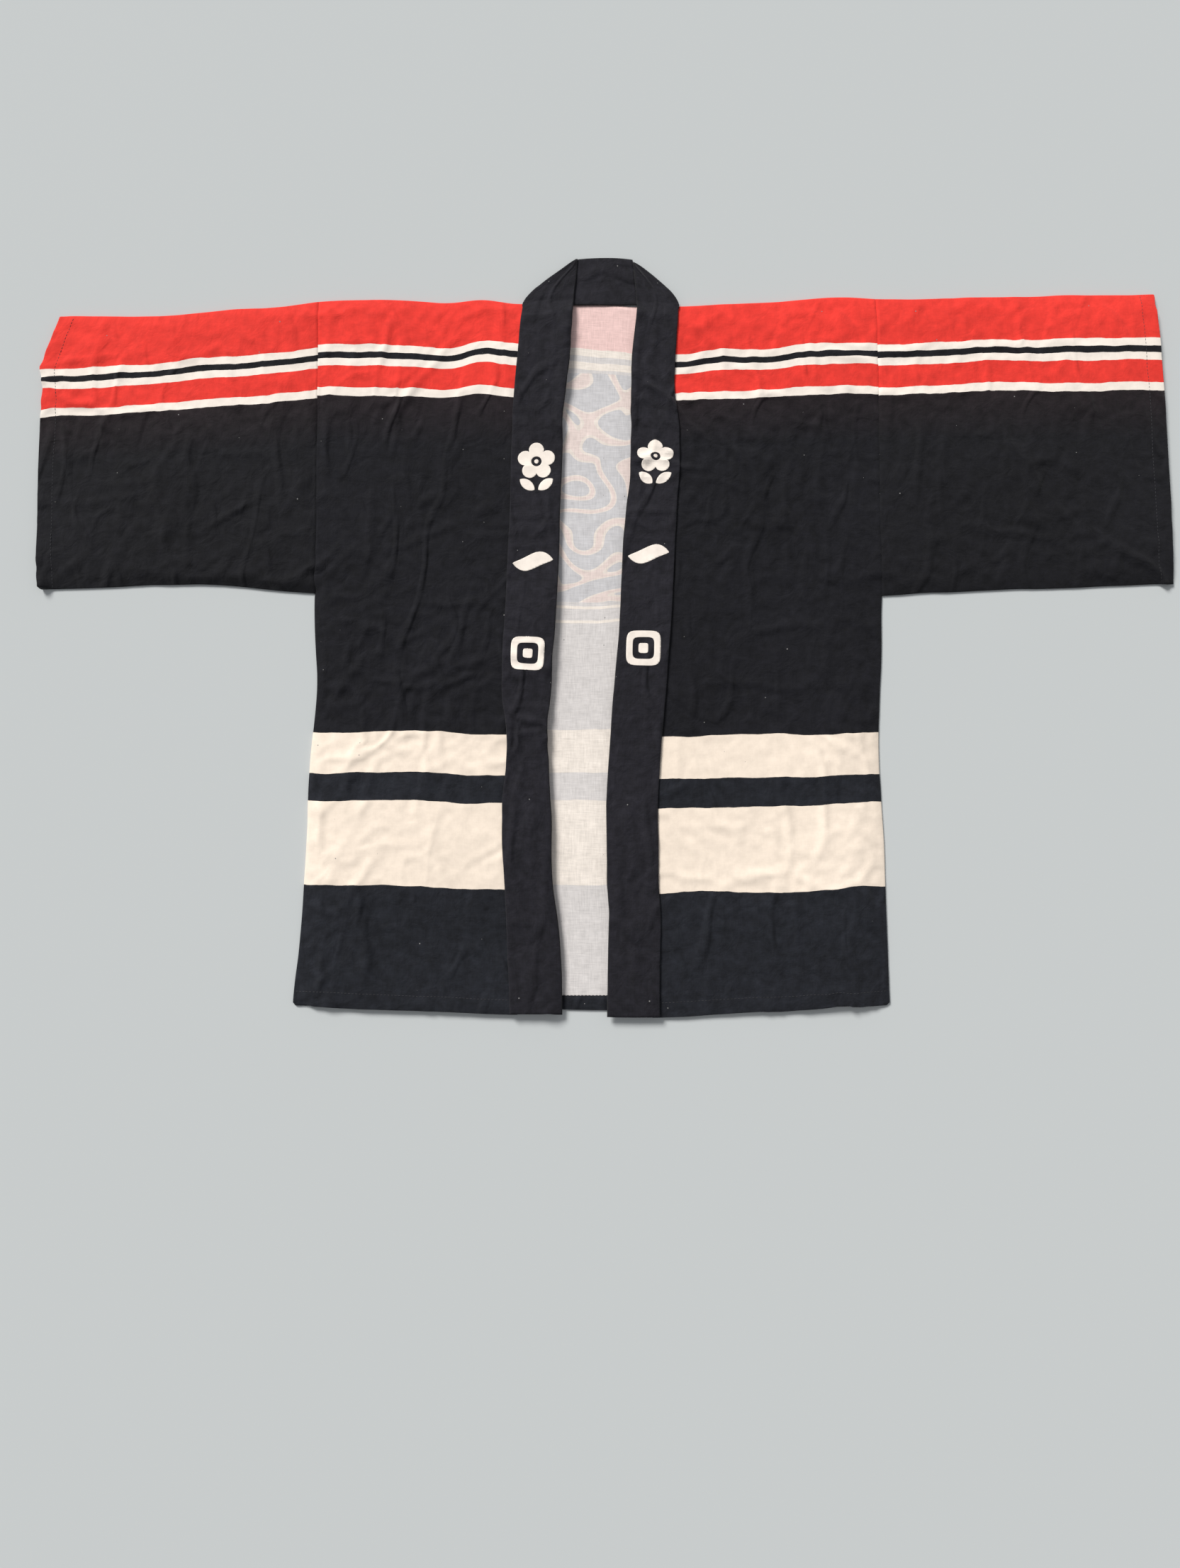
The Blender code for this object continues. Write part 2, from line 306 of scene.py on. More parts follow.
def mound(x, y):
    """The soft swell of the upper layer over the lower one, down to its folded and seamed edges."""
    style = bpy.context.scene.coat_lay
    fold, seam = edge_distances(x, y)
    high = style.loft + 0.0012 * ripple(x, y, 0.13, 7) + 0.0006 * ripple(x, y, 0.05, 8)
    at_fold, at_seam = 0.0036, 0.0021
    share = (at_fold / high) + (1 - at_fold / high) * (1 - (1 - np.clip(fold / 0.045, 0, 1)) ** 3)
    share = share * (at_seam / high + (1 - at_seam / high) * (1 - (1 - np.clip(seam / 0.05, 0, 1)) ** 3))
    return high * share


def front_height(x, y):
    """Height of the upper layer's middle before it settles."""
    near_edge = rise(np.minimum(*edge_distances(x, y)) / 0.018)
    relief = bpy.context.scene.coat_lay.crease * (creases(x, y) + crackle(x, y))
    return mound(x, y) + relief * (0.15 + 0.85 * near_edge)


def back_height(x, y):
    fold, seam = edge_distances(x, y)
    free = rise(np.minimum(fold, seam) / 0.02)
    return 0.0004 + 0.0007 * free * (0.6 + 0.6 * ripple(x, y, 0.06, 9))


SETTLED = {}


def settled(x, y):
    """The shift that the settled cloth adds at places on the upper layer."""
    if not SETTLED:
        return np.zeros((3,) + np.shape(x))
    (x0, y0), step, shift = SETTLED["corner"], SETTLED["step"], SETTLED["shift"]
    u = np.clip((x - x0) / step, 1, shift.shape[1] - 2.001)
    v = np.clip((y - y0) / step, 1, shift.shape[0] - 2.001)
    i, j = u.astype(int), v.astype(int)
    across, along = smooth_weights(u - i), smooth_weights(v - j)
    value = 0
    for m in range(4):
        row = sum(shift[j + m - 1, i + k - 1] * across[k][..., None] for k in range(4))
        value = value + row * along[m][..., None]
    return np.moveaxis(value, -1, 0)


def smooth_weights(t):
    """The shares of four neighbouring grid lines in a cubic B-spline."""
    return ((1 - t) ** 3 / 6, (3 * t**3 - 6 * t**2 + 4) / 6, (-3 * t**3 + 3 * t**2 + 3 * t + 1) / 6, t**3 / 6)


def lay(x, y, layer="front"):
    """Places on the flat pattern to points on the cloth as it lies, as an array ending in x, y, z."""
    x, y = np.broadcast_arrays(np.asarray(x, float), np.asarray(y, float))
    dx, dy = drawn(x, y)
    low = back_height(x, y)
    if layer == "back":
        return np.stack([x + dx, y + dy, low], -1)
    sx, sy, sz = settled(x, y)
    z = np.maximum(front_height(x, y) + sz, low + 0.0011)
    return np.stack([x + dx + sx, y + dy + sy, z], -1)


# ---------------------------------------------------------------- making meshes


def linear(code):
    """A colour's sRGB hex code as linear red, green, blue and alpha."""
    values = [int(code[i : i + 2], 16) / 255 for i in (0, 2, 4)]
    return (*((v / 12.92 if v <= 0.04045 else ((v + 0.055) / 1.055) ** 2.4) for v in values), 1.0)


def grid_mesh(name, points, flat, cyclic=False, flip=False, lean=1):
    """A cloth mesh from rows of points, each with its place on the flat cloth as its UV. Every square
    is cut along the diagonal that leans the same way, so layers that bend together stay apart."""
    rows, columns = points.shape[:2]
    mesh = bpy.data.meshes.new(name)
    index = np.arange(rows * columns).reshape(rows, columns)
    right = np.roll(index, -1, 1) if cyclic else index[:, 1:]
    left = index if cyclic else index[:, :-1]
    quads = np.stack([left[:-1], right[:-1], right[1:], left[1:]], -1).reshape(-1, 4)
    if flip:
        quads = quads[:, ::-1]
    spot = points.reshape(-1, 3)
    cut = spot[quads[:, 2]] - spot[quads[:, 0]]
    quads = np.where((cut[:, 0] * cut[:, 1] * lean < 0)[:, None], np.roll(quads, 1, 1), quads)
    places = quads[:, [0, 1, 2, 0, 2, 3]].reshape(-1, 3)
    mesh.from_pydata(spot.tolist(), [], places.tolist())
    uv = mesh.uv_layers.new(name="cloth")
    uv.data.foreach_set("uv", flat.reshape(-1, 2)[places.ravel()].astype(np.float32).ravel())
    mesh.polygons.foreach_set("use_smooth", [True] * len(mesh.polygons))
    mesh.update()
    return mesh


def new_object(name, mesh):
    old = bpy.data.objects.get(name)
    if old:
        bpy.data.objects.remove(old)
    piece = bpy.data.objects.new(name, mesh)
    bpy.context.scene.collection.objects.link(piece)
    return piece


def made_plain(piece):
    """The piece with its modifiers worked into its mesh."""
    bpy.context.view_layer.update()
    graph = bpy.context.evaluated_depsgraph_get()
    mesh = bpy.data.meshes.new_from_object(piece.evaluated_get(graph), depsgraph=graph)
    piece.modifiers.clear()
    piece.data = mesh
    return piece


def cloth_piece(name, mesh, materials, thickness):
    """A woven piece with its outer and inner face."""
    for material in materials:
        mesh.materials.append(material)
    piece = new_object(name, mesh)
    solid = piece.modifiers.new("thickness", "SOLIDIFY")
    solid.thickness = thickness
    solid.offset = 0
    solid.use_even_offset = False
    solid.material_offset = 1
    return made_plain(piece)


def bends_with_front(piece):
    """Works the piece's placement into its mesh."""
    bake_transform(piece)


def bends_with_sleeve(piece):
    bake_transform(piece)


def half_turn(start, end, out, turns):
    """Points round a half circle from start to end that bulges out, at the given angles."""
    centre, arm = (start + end) / 2, (start - end) / 2
    return [centre + arm * math.cos(w) + out * math.sin(w) for w in turns]


def tube(upper, lower, last_out, first_out, steps):
    """Rings of points round two layers of cloth, joined at both edges by half turns."""
    turns = [math.pi * k / steps for k in range(1, steps)]
    last = np.stack(half_turn(upper[:, -1], lower[:, -1], last_out, turns), 1)
    first = np.stack(half_turn(lower[:, 0], upper[:, 0], first_out, turns), 1)
    return np.concatenate([upper, last, lower[:, ::-1], first], 1)


def round_and_along(ring, row, along):
    """Flat places of a tube's points: the girth at one row, by the distance along it."""
    girth = np.concatenate([[0], np.cumsum(np.linalg.norm(np.diff(ring[row], axis=0), axis=-1))])
    return np.stack(np.broadcast_arrays(girth[None, :], along), -1)


def hemmed(points, flat, turn, inward):
    """Rows of cloth with the last ones turned back inside: a tight fold, then a strip lying under."""
    edge, before = points[-1], points[-2]
    ahead = edge - before
    ahead /= np.linalg.norm(ahead, axis=-1, keepdims=True)
    step = np.linalg.norm(flat[-1] - flat[-2], axis=-1).mean()
    more, places = [], []
    for k in range(1, 6):
        angle = math.pi * k / 6
        more.append(edge + ahead * HEM * math.sin(angle) + inward[-1] * (1 - math.cos(angle)))
        places.append(flat[-1] + (flat[-1] - flat[-2]) / step * HEM * angle)
    count = max(2, round(turn / step))
    for k in range(count + 1):
        more.append(points[-1 - k] + 2 * inward[-1 - k])
        places.append(flat[-1] + (flat[-1] - flat[-2]) / step * (HEM * math.pi + step * k))
    return np.concatenate([points, more]), np.concatenate([flat, places])


# ---------------------------------------------------------------- materials


def add(tree, kind, inputs=None, **settings):
    """Adds a node, a shader one unless its kind says otherwise, with its settings. An input takes a
    value, a socket, or a node for that one's first output."""
    node = tree.nodes.new(kind if "Node" in kind else "ShaderNode" + kind)
    for key, value in settings.items():
        setattr(node, key, value)
    for key, value in (inputs or {}).items():
        value = value.outputs[0] if isinstance(value, bpy.types.Node) else value
        if isinstance(value, bpy.types.NodeSocket):
            tree.links.new(value, node.inputs[key])
        else:
            node.inputs[key].default_value = value
    return node


def fresh_material(name):
    old = bpy.data.materials.get(name)
    if old:
        bpy.data.materials.remove(old)
    material = bpy.data.materials.new(name)
    material.use_nodes = True
    tree = material.node_tree
    tree.nodes.clear()
    return material, tree


THREAD = 0.0011  # threads are 0.45 mm apart; drawn at 1.1 mm so that the weave shows
LINT = "8C8A88"  # specks of fluff, under a millimetre across
REVERSE_WEAVE = 6.0  # how much plainer the threads show on the pale reverse
# Nets of long creases: direction, scales, depth, and the place in the noise that each is cut from.
NETS = (
    (0.35, (12, 5, 1), 0.0019, 3.1),
    (-0.5, (13, 6, 1), 0.0016, 7.7),
    (1.35, (14, 8, 1), 0.0013, 12.4),
)


def woven(tree, uv, crinkle=1.0, weave=1.0):
    """Cotton's surface: (height in metres, change of colour), from threads, slubs and fine crinkles."""
    parts = add(tree, "SeparateXYZ", {"Vector": uv})
    waves = []
    for axis in ("X", "Y"):
        turns = add(tree, "Math", {0: parts.outputs[axis], 1: math.tau / THREAD}, operation="MULTIPLY")
        waves.append(add(tree, "Math", {0: turns}, operation="SINE"))
    plain = add(tree, "Math", {0: waves[0], 1: waves[1]}, operation="MULTIPLY")
    slubs = []
    for scale in ((70, 800, 1), (800, 70, 1)):
        place = add(tree, "Mapping", {"Vector": uv, "Scale": scale})
        slubs.append(add(tree, "TexNoise", {"Vector": place, "Scale": 1.0, "Detail": 2.0, "Roughness": 0.6}))
    slub = add(tree, "Math", {0: slubs[0], 1: slubs[1]}, operation="ADD")
    crumple = {"Vector": uv, "Scale": 55.0, "Detail": 4.0, "Roughness": 0.55, "Distortion": 0.6}
    fold = add(tree, "TexNoise", crumple)
    height = add(tree, "Math", {0: plain, 1: 0.00005 * weave}, operation="MULTIPLY")
    threads = add(tree, "Math", {0: slub, 1: 0.0001 * weave, 2: height}, operation="MULTIPLY_ADD")
    total = add(tree, "Math", {0: fold, 1: 0.0024 * crinkle, 2: threads}, operation="MULTIPLY_ADD")
    for turn, size, deep, where in NETS:
        total = crease_net(tree, uv, total, turn, size, deep * crinkle, where)
    worn = add(tree, "TexNoise", {"Vector": uv, "Scale": 7.0, "Detail": 3.0})
    mottle = add(tree, "TexNoise", {"Vector": uv, "Scale": 95.0, "Detail": 3.0, "Roughness": 0.65})
    change = 0.0
    for level, middle, share in ((slub, 1.0, 0.2 * weave), (worn, 0.5, 0.4), (mottle, 0.5, 0.8)):
        off = add(tree, "Math", {0: level, 1: middle}, operation="SUBTRACT")
        change = add(tree, "Math", {0: off, 1: share, 2: change}, operation="MULTIPLY_ADD")
    return total, change


def crease_net(tree, uv, height, turn, size, deep, where):
    """Adds long sharp creases to a height, each wandering across the cloth and fading out."""
    moved = {"Location": (where, -where, 0), "Rotation": (0, 0, turn), "Scale": size}
    place = add(tree, "Mapping", {"Vector": uv, **moved})
    level = add(tree, "TexNoise", {"Vector": place, "Scale": 1.0, "Detail": 2.0, "Roughness": 0.35})
    middle = add(tree, "Math", {0: level, 1: 0.5}, operation="SUBTRACT")
    away = add(tree, "Math", {0: middle}, operation="ABSOLUTE")
    near = {0: away, 1: 0.0, 2: 0.042, 3: 1.0, 4: 0.0}
    ridge = add(tree, "MapRange", near, interpolation_type="SMOOTHERSTEP")
    patch = add(tree, "TexNoise", {"Vector": place, "Scale": 1.7, "Detail": 1.0})
    shown = add(tree, "MapRange", {0: patch, 1: 0.44, 2: 0.62, 3: 0.0, 4: deep})
    return add(tree, "Math", {0: ridge, 1: shown, 2: height}, operation="MULTIPLY_ADD")


def finish_cotton(tree, uv, colour, rough=0.86, shine=0.22, sheen=0.06, crinkle=1.0, weave=1.0):
    """Wires a colour through cotton's surface to the output."""
    height, change = woven(tree, uv, crinkle, weave)
    # dark cloth shows its uneven dye more, and pale cloth its relief less
    tone = add(tree, "RGBToBW", {"Color": colour})
    spread = add(tree, "MapRange", {0: tone, 1: 0.02, 2: 0.26, 3: 2.1, 4: 0.35})
    relief = add(tree, "MapRange", {0: tone, 1: 0.02, 2: 0.4, 3: 1.0, 4: 0.15})
    scaled = add(tree, "Math", {0: change, 1: spread, 2: 1.0}, operation="MULTIPLY_ADD")
    tint = add(tree, "VectorMath", {0: colour, 3: scaled}, operation="SCALE")
    spots = add(tree, "TexVoronoi", {"Vector": uv, "Scale": 48.0}, voronoi_dimensions="2D")
    chance = add(tree, "SeparateColor", {0: spots.outputs["Color"]})
    size = add(tree, "MapRange", {0: chance, 1: 0.9, 2: 1.0, 3: 0.0, 4: 0.032})
    fluff = add(tree, "Math", {0: spots.outputs["Distance"], 1: size}, operation="LESS_THAN")
    tint = add(tree, "Mix", {0: fluff, 6: tint, 7: linear(LINT)}, data_type="RGBA")
    bump = add(tree, "Bump", {"Height": height, "Distance": 1.0, "Strength": relief})
    finish = {"Roughness": rough, "Specular IOR Level": shine, "Sheen Weight": sheen, "Sheen Roughness": 0.5}
    shader = add(tree, "BsdfPrincipled", {"Base Color": tint.outputs[2], **finish, "Normal": bump})
    add(tree, "OutputMaterial", {"Surface": shader})


def stripe_colour(tree, uv, stripes, wobble=0.0007, bleed=None):
    """Stripes across the cloth by distance from the shoulder fold: rows of (where one starts, hex)."""
    parts = add(tree, "SeparateXYZ", {"Vector": uv})
    ragged = add(tree, "TexNoise", {"Vector": uv, "Scale": 160.0, "Detail": 2.0})
    shifted = add(tree, "Math", {0: ragged, 1: wobble, 2: parts.outputs["Y"]}, operation="MULTIPLY_ADD")
    pulled = add(tree, "Mapping", {"Vector": uv, "Scale": (1, 0.3, 1)})
    kinks = add(tree, "TexNoise", {"Vector": pulled, "Scale": 13.0, "Detail": 3.0, "Roughness": 0.5})
    kink = add(tree, "Math", {0: kinks, 1: 0.5}, operation="SUBTRACT")
    shifted = add(tree, "Math", {0: kink, 1: 0.011, 2: shifted}, operation="MULTIPLY_ADD")
    at, colour = shifted, linear(stripes[0][1])
    for start, code in stripes[1:]:
        past = add(tree, "Math", {0: at, 1: start}, operation="GREATER_THAN")
        mixed = add(tree, "Mix", {0: past, 6: colour, 7: linear(code)}, data_type="RGBA")
        colour = mixed.outputs[2]
    if bleed is None:
        return colour
    start, end, code = bleed
    fading = add(tree, "MapRange", {0: at, 1: start, 2: end, 3: 0.22, 4: 0.0})
    past = add(tree, "Math", {0: at, 1: start}, operation="GREATER_THAN")
    stain = add(tree, "Math", {0: fading, 1: past}, operation="MULTIPLY")
    mixed = add(tree, "Mix", {0: stain, 6: colour, 7: linear(code)}, data_type="RGBA")
    return mixed.outputs[2]


def stripes_of(style, ground, reverse=False):
    """The coat's stripes from shoulder to hem, as rows of (distance, hex)."""
    red, white = (style.pink, style.cream_reverse) if reverse else (style.red, style.cream)
    dark = style.grey_reverse if reverse else ground
    rows, at = [], 0.0
    for width, code in zip(
        (style.wide_red, style.line, style.gap, style.line, style.narrow_red, style.edge_line),
        (red, white, dark, white, red, white),
    ):
        rows.append((at, code))
        at += width
    rows.append((at, dark))
    return rows, at


def printed_cotton(name, ground, bands, reverse=False, mark=False, **surface):
    """Plain-woven cotton dyed black with stripes printed through it; its reverse is much paler."""
    style = bpy.context.scene.coat_print
    material, tree = fresh_material(name)
    uv = add(tree, "UVMap", uv_map="cloth")
    rows, below = stripes_of(style, ground, reverse)
    if mark:
        rows = [row for row in rows if row[0] < below - style.narrow_red - style.edge_line - 1e-6]
        rows.append((below - style.narrow_red - style.edge_line, rows[2][1]))
    dark = rows[2][1]
    band = style.cream_reverse if reverse else style.band_cream
    low = dark if reverse else style.hem_black
    for start, end in bands:
        rows += [(start, band), (end, low)]
    stain = None if reverse else (below, below + 0.05, style.stain)
    colour = stripe_colour(tree, uv, rows, bleed=stain)
    if mark:
        colour = back_mark(tree, uv, colour, reverse)
    finish_cotton(tree, uv, colour, **surface)
    return material


def back_mark(tree, uv, colour, reverse):
    """A flowing abstract brush pattern across the back, edged in cream."""
    style = bpy.context.scene.coat_print
    flowing = {"Vector": uv, "Scale": 16.0, "Detail": 0.0, "Distortion": 1.5}
    flow = add(tree, "TexNoise", flowing, noise_dimensions="2D")
    middle = add(tree, "Math", {0: flow, 1: 0.5}, operation="SUBTRACT")
    band = add(tree, "Math", {0: middle}, operation="ABSOLUTE")
    parts = add(tree, "SeparateXYZ", {"Vector": uv})
    inside = []
    for axis, centre, half in (("X", 0.0, 0.2), ("Y", 0.200, 0.122)):
        away = add(tree, "Math", {0: parts.outputs[axis], 1: centre}, operation="SUBTRACT")
        size = add(tree, "Math", {0: away}, operation="ABSOLUTE")
        inside.append(add(tree, "Math", {0: size, 1: half}, operation="LESS_THAN"))
    area = add(tree, "Math", {0: inside[0], 1: inside[1]}, operation="MULTIPLY")
    codes = (style.mark_cream, style.mark_pink) if reverse else (style.cream, style.red)
    ground = add(tree, "Mix", {0: area, 6: colour, 7: linear(style.mark_ground)}, data_type="RGBA")
    colour = ground.outputs[2] if reverse else colour
    for limit, code in zip((0.11, 0.066), codes):
        stroke = add(tree, "Math", {0: band, 1: limit}, operation="LESS_THAN")
        shown = add(tree, "Math", {0: stroke, 1: area}, operation="MULTIPLY")
        mix = add(tree, "Mix", {0: shown, 6: colour, 7: linear(code)}, data_type="RGBA")
        colour = mix.outputs[2]
    return colour


def plain_cotton(name, code, **surface):
    """Plain-woven cotton in one colour."""
    material, tree = fresh_material(name)
    uv = add(tree, "UVMap", uv_map="cloth")
    base = add(tree, "RGB")
    base.outputs[0].default_value = linear(code)
    finish_cotton(tree, uv, base, **surface)
    return material


# ---------------------------------------------------------------- settings


def metres(name, description, default):
    return FloatProperty(name=name, description=description, default=default, unit="LENGTH")


def angle(name, description, default):
    return FloatProperty(name=name, description=description, default=default, subtype="ANGLE")


def colour_text(name, code):
    return StringProperty(name=name, description=f"{name} as an sRGB hex code", default=code)


class CoatLay(bpy.types.PropertyGroup):
    """How the coat's cloth lies."""

    thickness: metres("Thickness", "Of one layer of cloth", 0.00045)
    loft: metres("Loft", "Height of the upper layer", 0.0074)
    waver: metres("Waver", "How far the cloth wavers in its plane", 0.0011)
    crease: FloatProperty(name="Creases", description="Strength of the creases", default=1.25, min=0, max=4)
    pitch: metres("Grid", "Spacing of the cloth's vertices", 0.0034)
    hem_turn: metres("Hem Turn", "Cloth turned back at the hem", 0.015)
    cuff_turn: metres("Cuff Turn", "Cloth turned back at a cuff", 0.016)
    ease: FloatProperty(name="Ease", description="How much larger the settling cloth is than its seams", default=0.02)
    stiffness: FloatProperty(name="Stiffness", description="Against bending while it settles", default=0.02)
    settle_pitch: metres("Settling Grid", "Of the settling cloth", 0.006)


class CoatPrint(bpy.types.PropertyGroup):
    """The coat's dyes and printed stripes."""

    red: colour_text("Red", "EB3B31")
    black: colour_text("Black", "15151A")
    hem_black: colour_text("Hem Black", "1E2026")
    sleeve_black: colour_text("Sleeve Black", "151519")
    collar_black: colour_text("Collar Black", "201F25")
    cream: colour_text("Cream", "FBF0E4")
    band_cream: colour_text("Band Cream", "F9E9D7")
    stain: colour_text("Stain", "3A2626")
    pink: colour_text("Reverse Pink", "F3D0CA")
    cream_reverse: colour_text("Reverse Cream", "F4EADF")
    grey_reverse: colour_text("Reverse Grey", "DCD7D4")
    mark_cream: colour_text("Mark Cream", "EDE2D8")
    mark_pink: colour_text("Mark Pink", "EAD9D2")
    mark_ground: colour_text("Mark Ground", "D0CECF")
    wide_red: metres("Wide Red", "Stripe on the shoulder", 0.051)
    line: metres("Line", "Narrow cream stripe", 0.0081)
    gap: metres("Gap", "Dark stripe between the lines", 0.0067)
    narrow_red: metres("Narrow Red", "Second red stripe", 0.0235)
    edge_line: metres("Edge Line", "Lowest cream stripe", 0.0088)
    band_top: metres("Upper Band", "Shoulder to the upper cream band", 0.463)
    band_depth: metres("Upper Band Depth", "Of the upper cream band", 0.0428)
    low_band_top: metres("Lower Band", "Shoulder to the lower cream band", 0.5348)
    low_band_depth: metres("Lower Band Depth", "Of the lower cream band", 0.0862)


class CoatStitches(bpy.types.PropertyGroup):
    """The hem and cuff stitching."""

    pitch: metres("Pitch", "From one stitch to the next", 0.0036)
    length: metres("Length", "Of a stitch", 0.0026)
    thread: metres("Thread", "Thickness of the thread", 0.0005)


class CoatStage(bpy.types.PropertyGroup):
    """The floor, lights and camera."""

    lens: FloatProperty(name="Lens", description="Focal length in millimetres", default=27.08)
    height: metres("Camera Height", "Above the floor", 1.203)
    tilt: angle("Tilt", "Away from straight down", math.radians(4.5))
    key: FloatProperty(name="Key Light", description="Strength of the main light", default=3.35)
    key_height: angle("Key Height", "Of the main light over the floor", math.radians(38))
    key_from: angle("Key From", "Direction the main light comes from", math.radians(125))
    sky: FloatProperty(name="Sky", description="Strength of the light from all round", default=0.37)


# ---------------------------------------------------------------- settling


def within(side, x, y):
    """Which places lie on one half of the upper layer."""
    o, out = OUTLINES[side], OUT[side]
    body = (y <= o.shoulder) & (y >= o.hem(x)) & (out * x <= out * o.side_seam(y))
    body &= (out * x >= out * o.front_edge(y)) & (out * x <= out * o.armhole + 0.02)
    sleeve = (out * x > out * o.armhole) & (out * x <= out * o.cuff(y))
    return body | (sleeve & (y <= o.sleeve_top(x)) & (y >= o.sleeve_bottom(x)))


def spread_out(values, known):
    """Fills unknown places of a grid from their known neighbours, ring by ring."""
    values, known = values.copy(), known.copy()
    for _ in range(400):
        if known.all():
            break
        total, count = np.zeros_like(values), np.zeros(known.shape)
        for axis in (0, 1):
            for step in (-1, 1):
                near, here = np.roll(values, step, axis), np.roll(known, step, axis)
                total += near * here[..., None]
                count += here
        fresh = ~known & (count > 0)
        values[fresh] = total[fresh] / count[fresh][:, None]
        known |= fresh
    return values


class COAT_OT_settle(bpy.types.Operator):
    """Lets the upper layer, cut a little large, settle between its seams by cloth simulation"""

    bl_idname = "coat.settle"
    bl_label = "Settle the Cloth"

    def execute(self, context):
        SETTLED.clear()
        style, scene = context.scene.coat_lay, context.scene
        step = style.settle_pitch
        xs, ys = np.arange(-0.606, 0.607, step), np.arange(-0.408, 0.376, step)
        x, y = np.meshgrid(xs, ys)
        inside = within("right", x, y) | within("left", x, y)
        start = lay(x, y)
        index = np.full(x.shape, -1)
        index[inside] = np.arange(inside.sum())
        quads = np.stack([index[:-1, :-1], index[:-1, 1:], index[1:, 1:], index[1:, :-1]], -1).reshape(-1, 4)
        mesh = bpy.data.meshes.new("settling")
        mesh.from_pydata(start[inside].tolist(), [], quads[(quads >= 0).all(1)].tolist())
        cloth = new_object("settling", mesh)
        held = np.minimum(*edge_distances(x, y))[inside] < 1.1 * step
        group = cloth.vertex_groups.new(name="held")
        group.add(np.flatnonzero(held).tolist(), 1.0, "REPLACE")
        bed = mesh.copy()
        low = np.stack([x, y, mound(x, y) - 0.0030], -1)[inside]
        bed.vertices.foreach_set("co", low.astype(np.float32).ravel())
        under = new_object("settling_bed", bed)
        under.modifiers.new("collision", "COLLISION")
        under.collision.thickness_outer = 0.001
        under.collision.cloth_friction = 12
        sim = cloth.modifiers.new("cloth", "CLOTH")
        fabric, touch = sim.settings, sim.collision_settings
        fabric.quality, fabric.mass, fabric.air_damping = 5, 0.12, 2.0
        fabric.tension_stiffness = fabric.compression_stiffness = 18
        fabric.shear_stiffness, fabric.bending_stiffness = 6, style.stiffness
        fabric.shrink_min = fabric.shrink_max = -style.ease
        fabric.vertex_group_mass, fabric.pin_stiffness = "held", 1.0
        touch.distance_min, touch.use_self_collision = 0.001, False
        frames = 26
        sim.point_cache.frame_start, sim.point_cache.frame_end = 1, frames
        for frame_number in range(1, frames + 1):
            scene.frame_set(frame_number)
        graph = context.evaluated_depsgraph_get()
        result = cloth.evaluated_get(graph).to_mesh()
        points = np.zeros(len(result.vertices) * 3, np.float32)
        result.vertices.foreach_get("co", points)
        shift = np.zeros(start.shape)
        shift[inside] = points.reshape(-1, 3) - start[inside]
        if not np.isfinite(shift).all():
            raise RuntimeError("the cloth did not settle")
        limit = np.array([0.004, 0.004, 0.006])
        shift = np.clip(shift, -limit, limit)
        used = np.isin(np.arange(inside.sum()), quads[(quads >= 0).all(1)])
        known = inside.copy()
        known[inside] = used
        SETTLED.update(corner=(xs[0], ys[0]), step=step, shift=spread_out(shift, known))
        for helper in (cloth, under):
            bpy.data.objects.remove(helper)
        scene.frame_set(1)
        return {"FINISHED"}


# ---------------------------------------------------------------- the pieces


def body_materials():
    style = bpy.context.scene.coat_print
    bands = (
        (style.band_top, style.band_top + style.band_depth),
        (style.low_band_top, style.low_band_top + style.low_band_depth),
    )
    made, outside, inside = bpy.data.materials, "printed black cotton", "printed cotton reverse"
    outer = made.get(outside) or printed_cotton(outside, style.black, bands)
    inner = made.get(inside) or printed_cotton(inside, style.black, bands, reverse=True, weave=REVERSE_WEAVE)
    return outer, inner


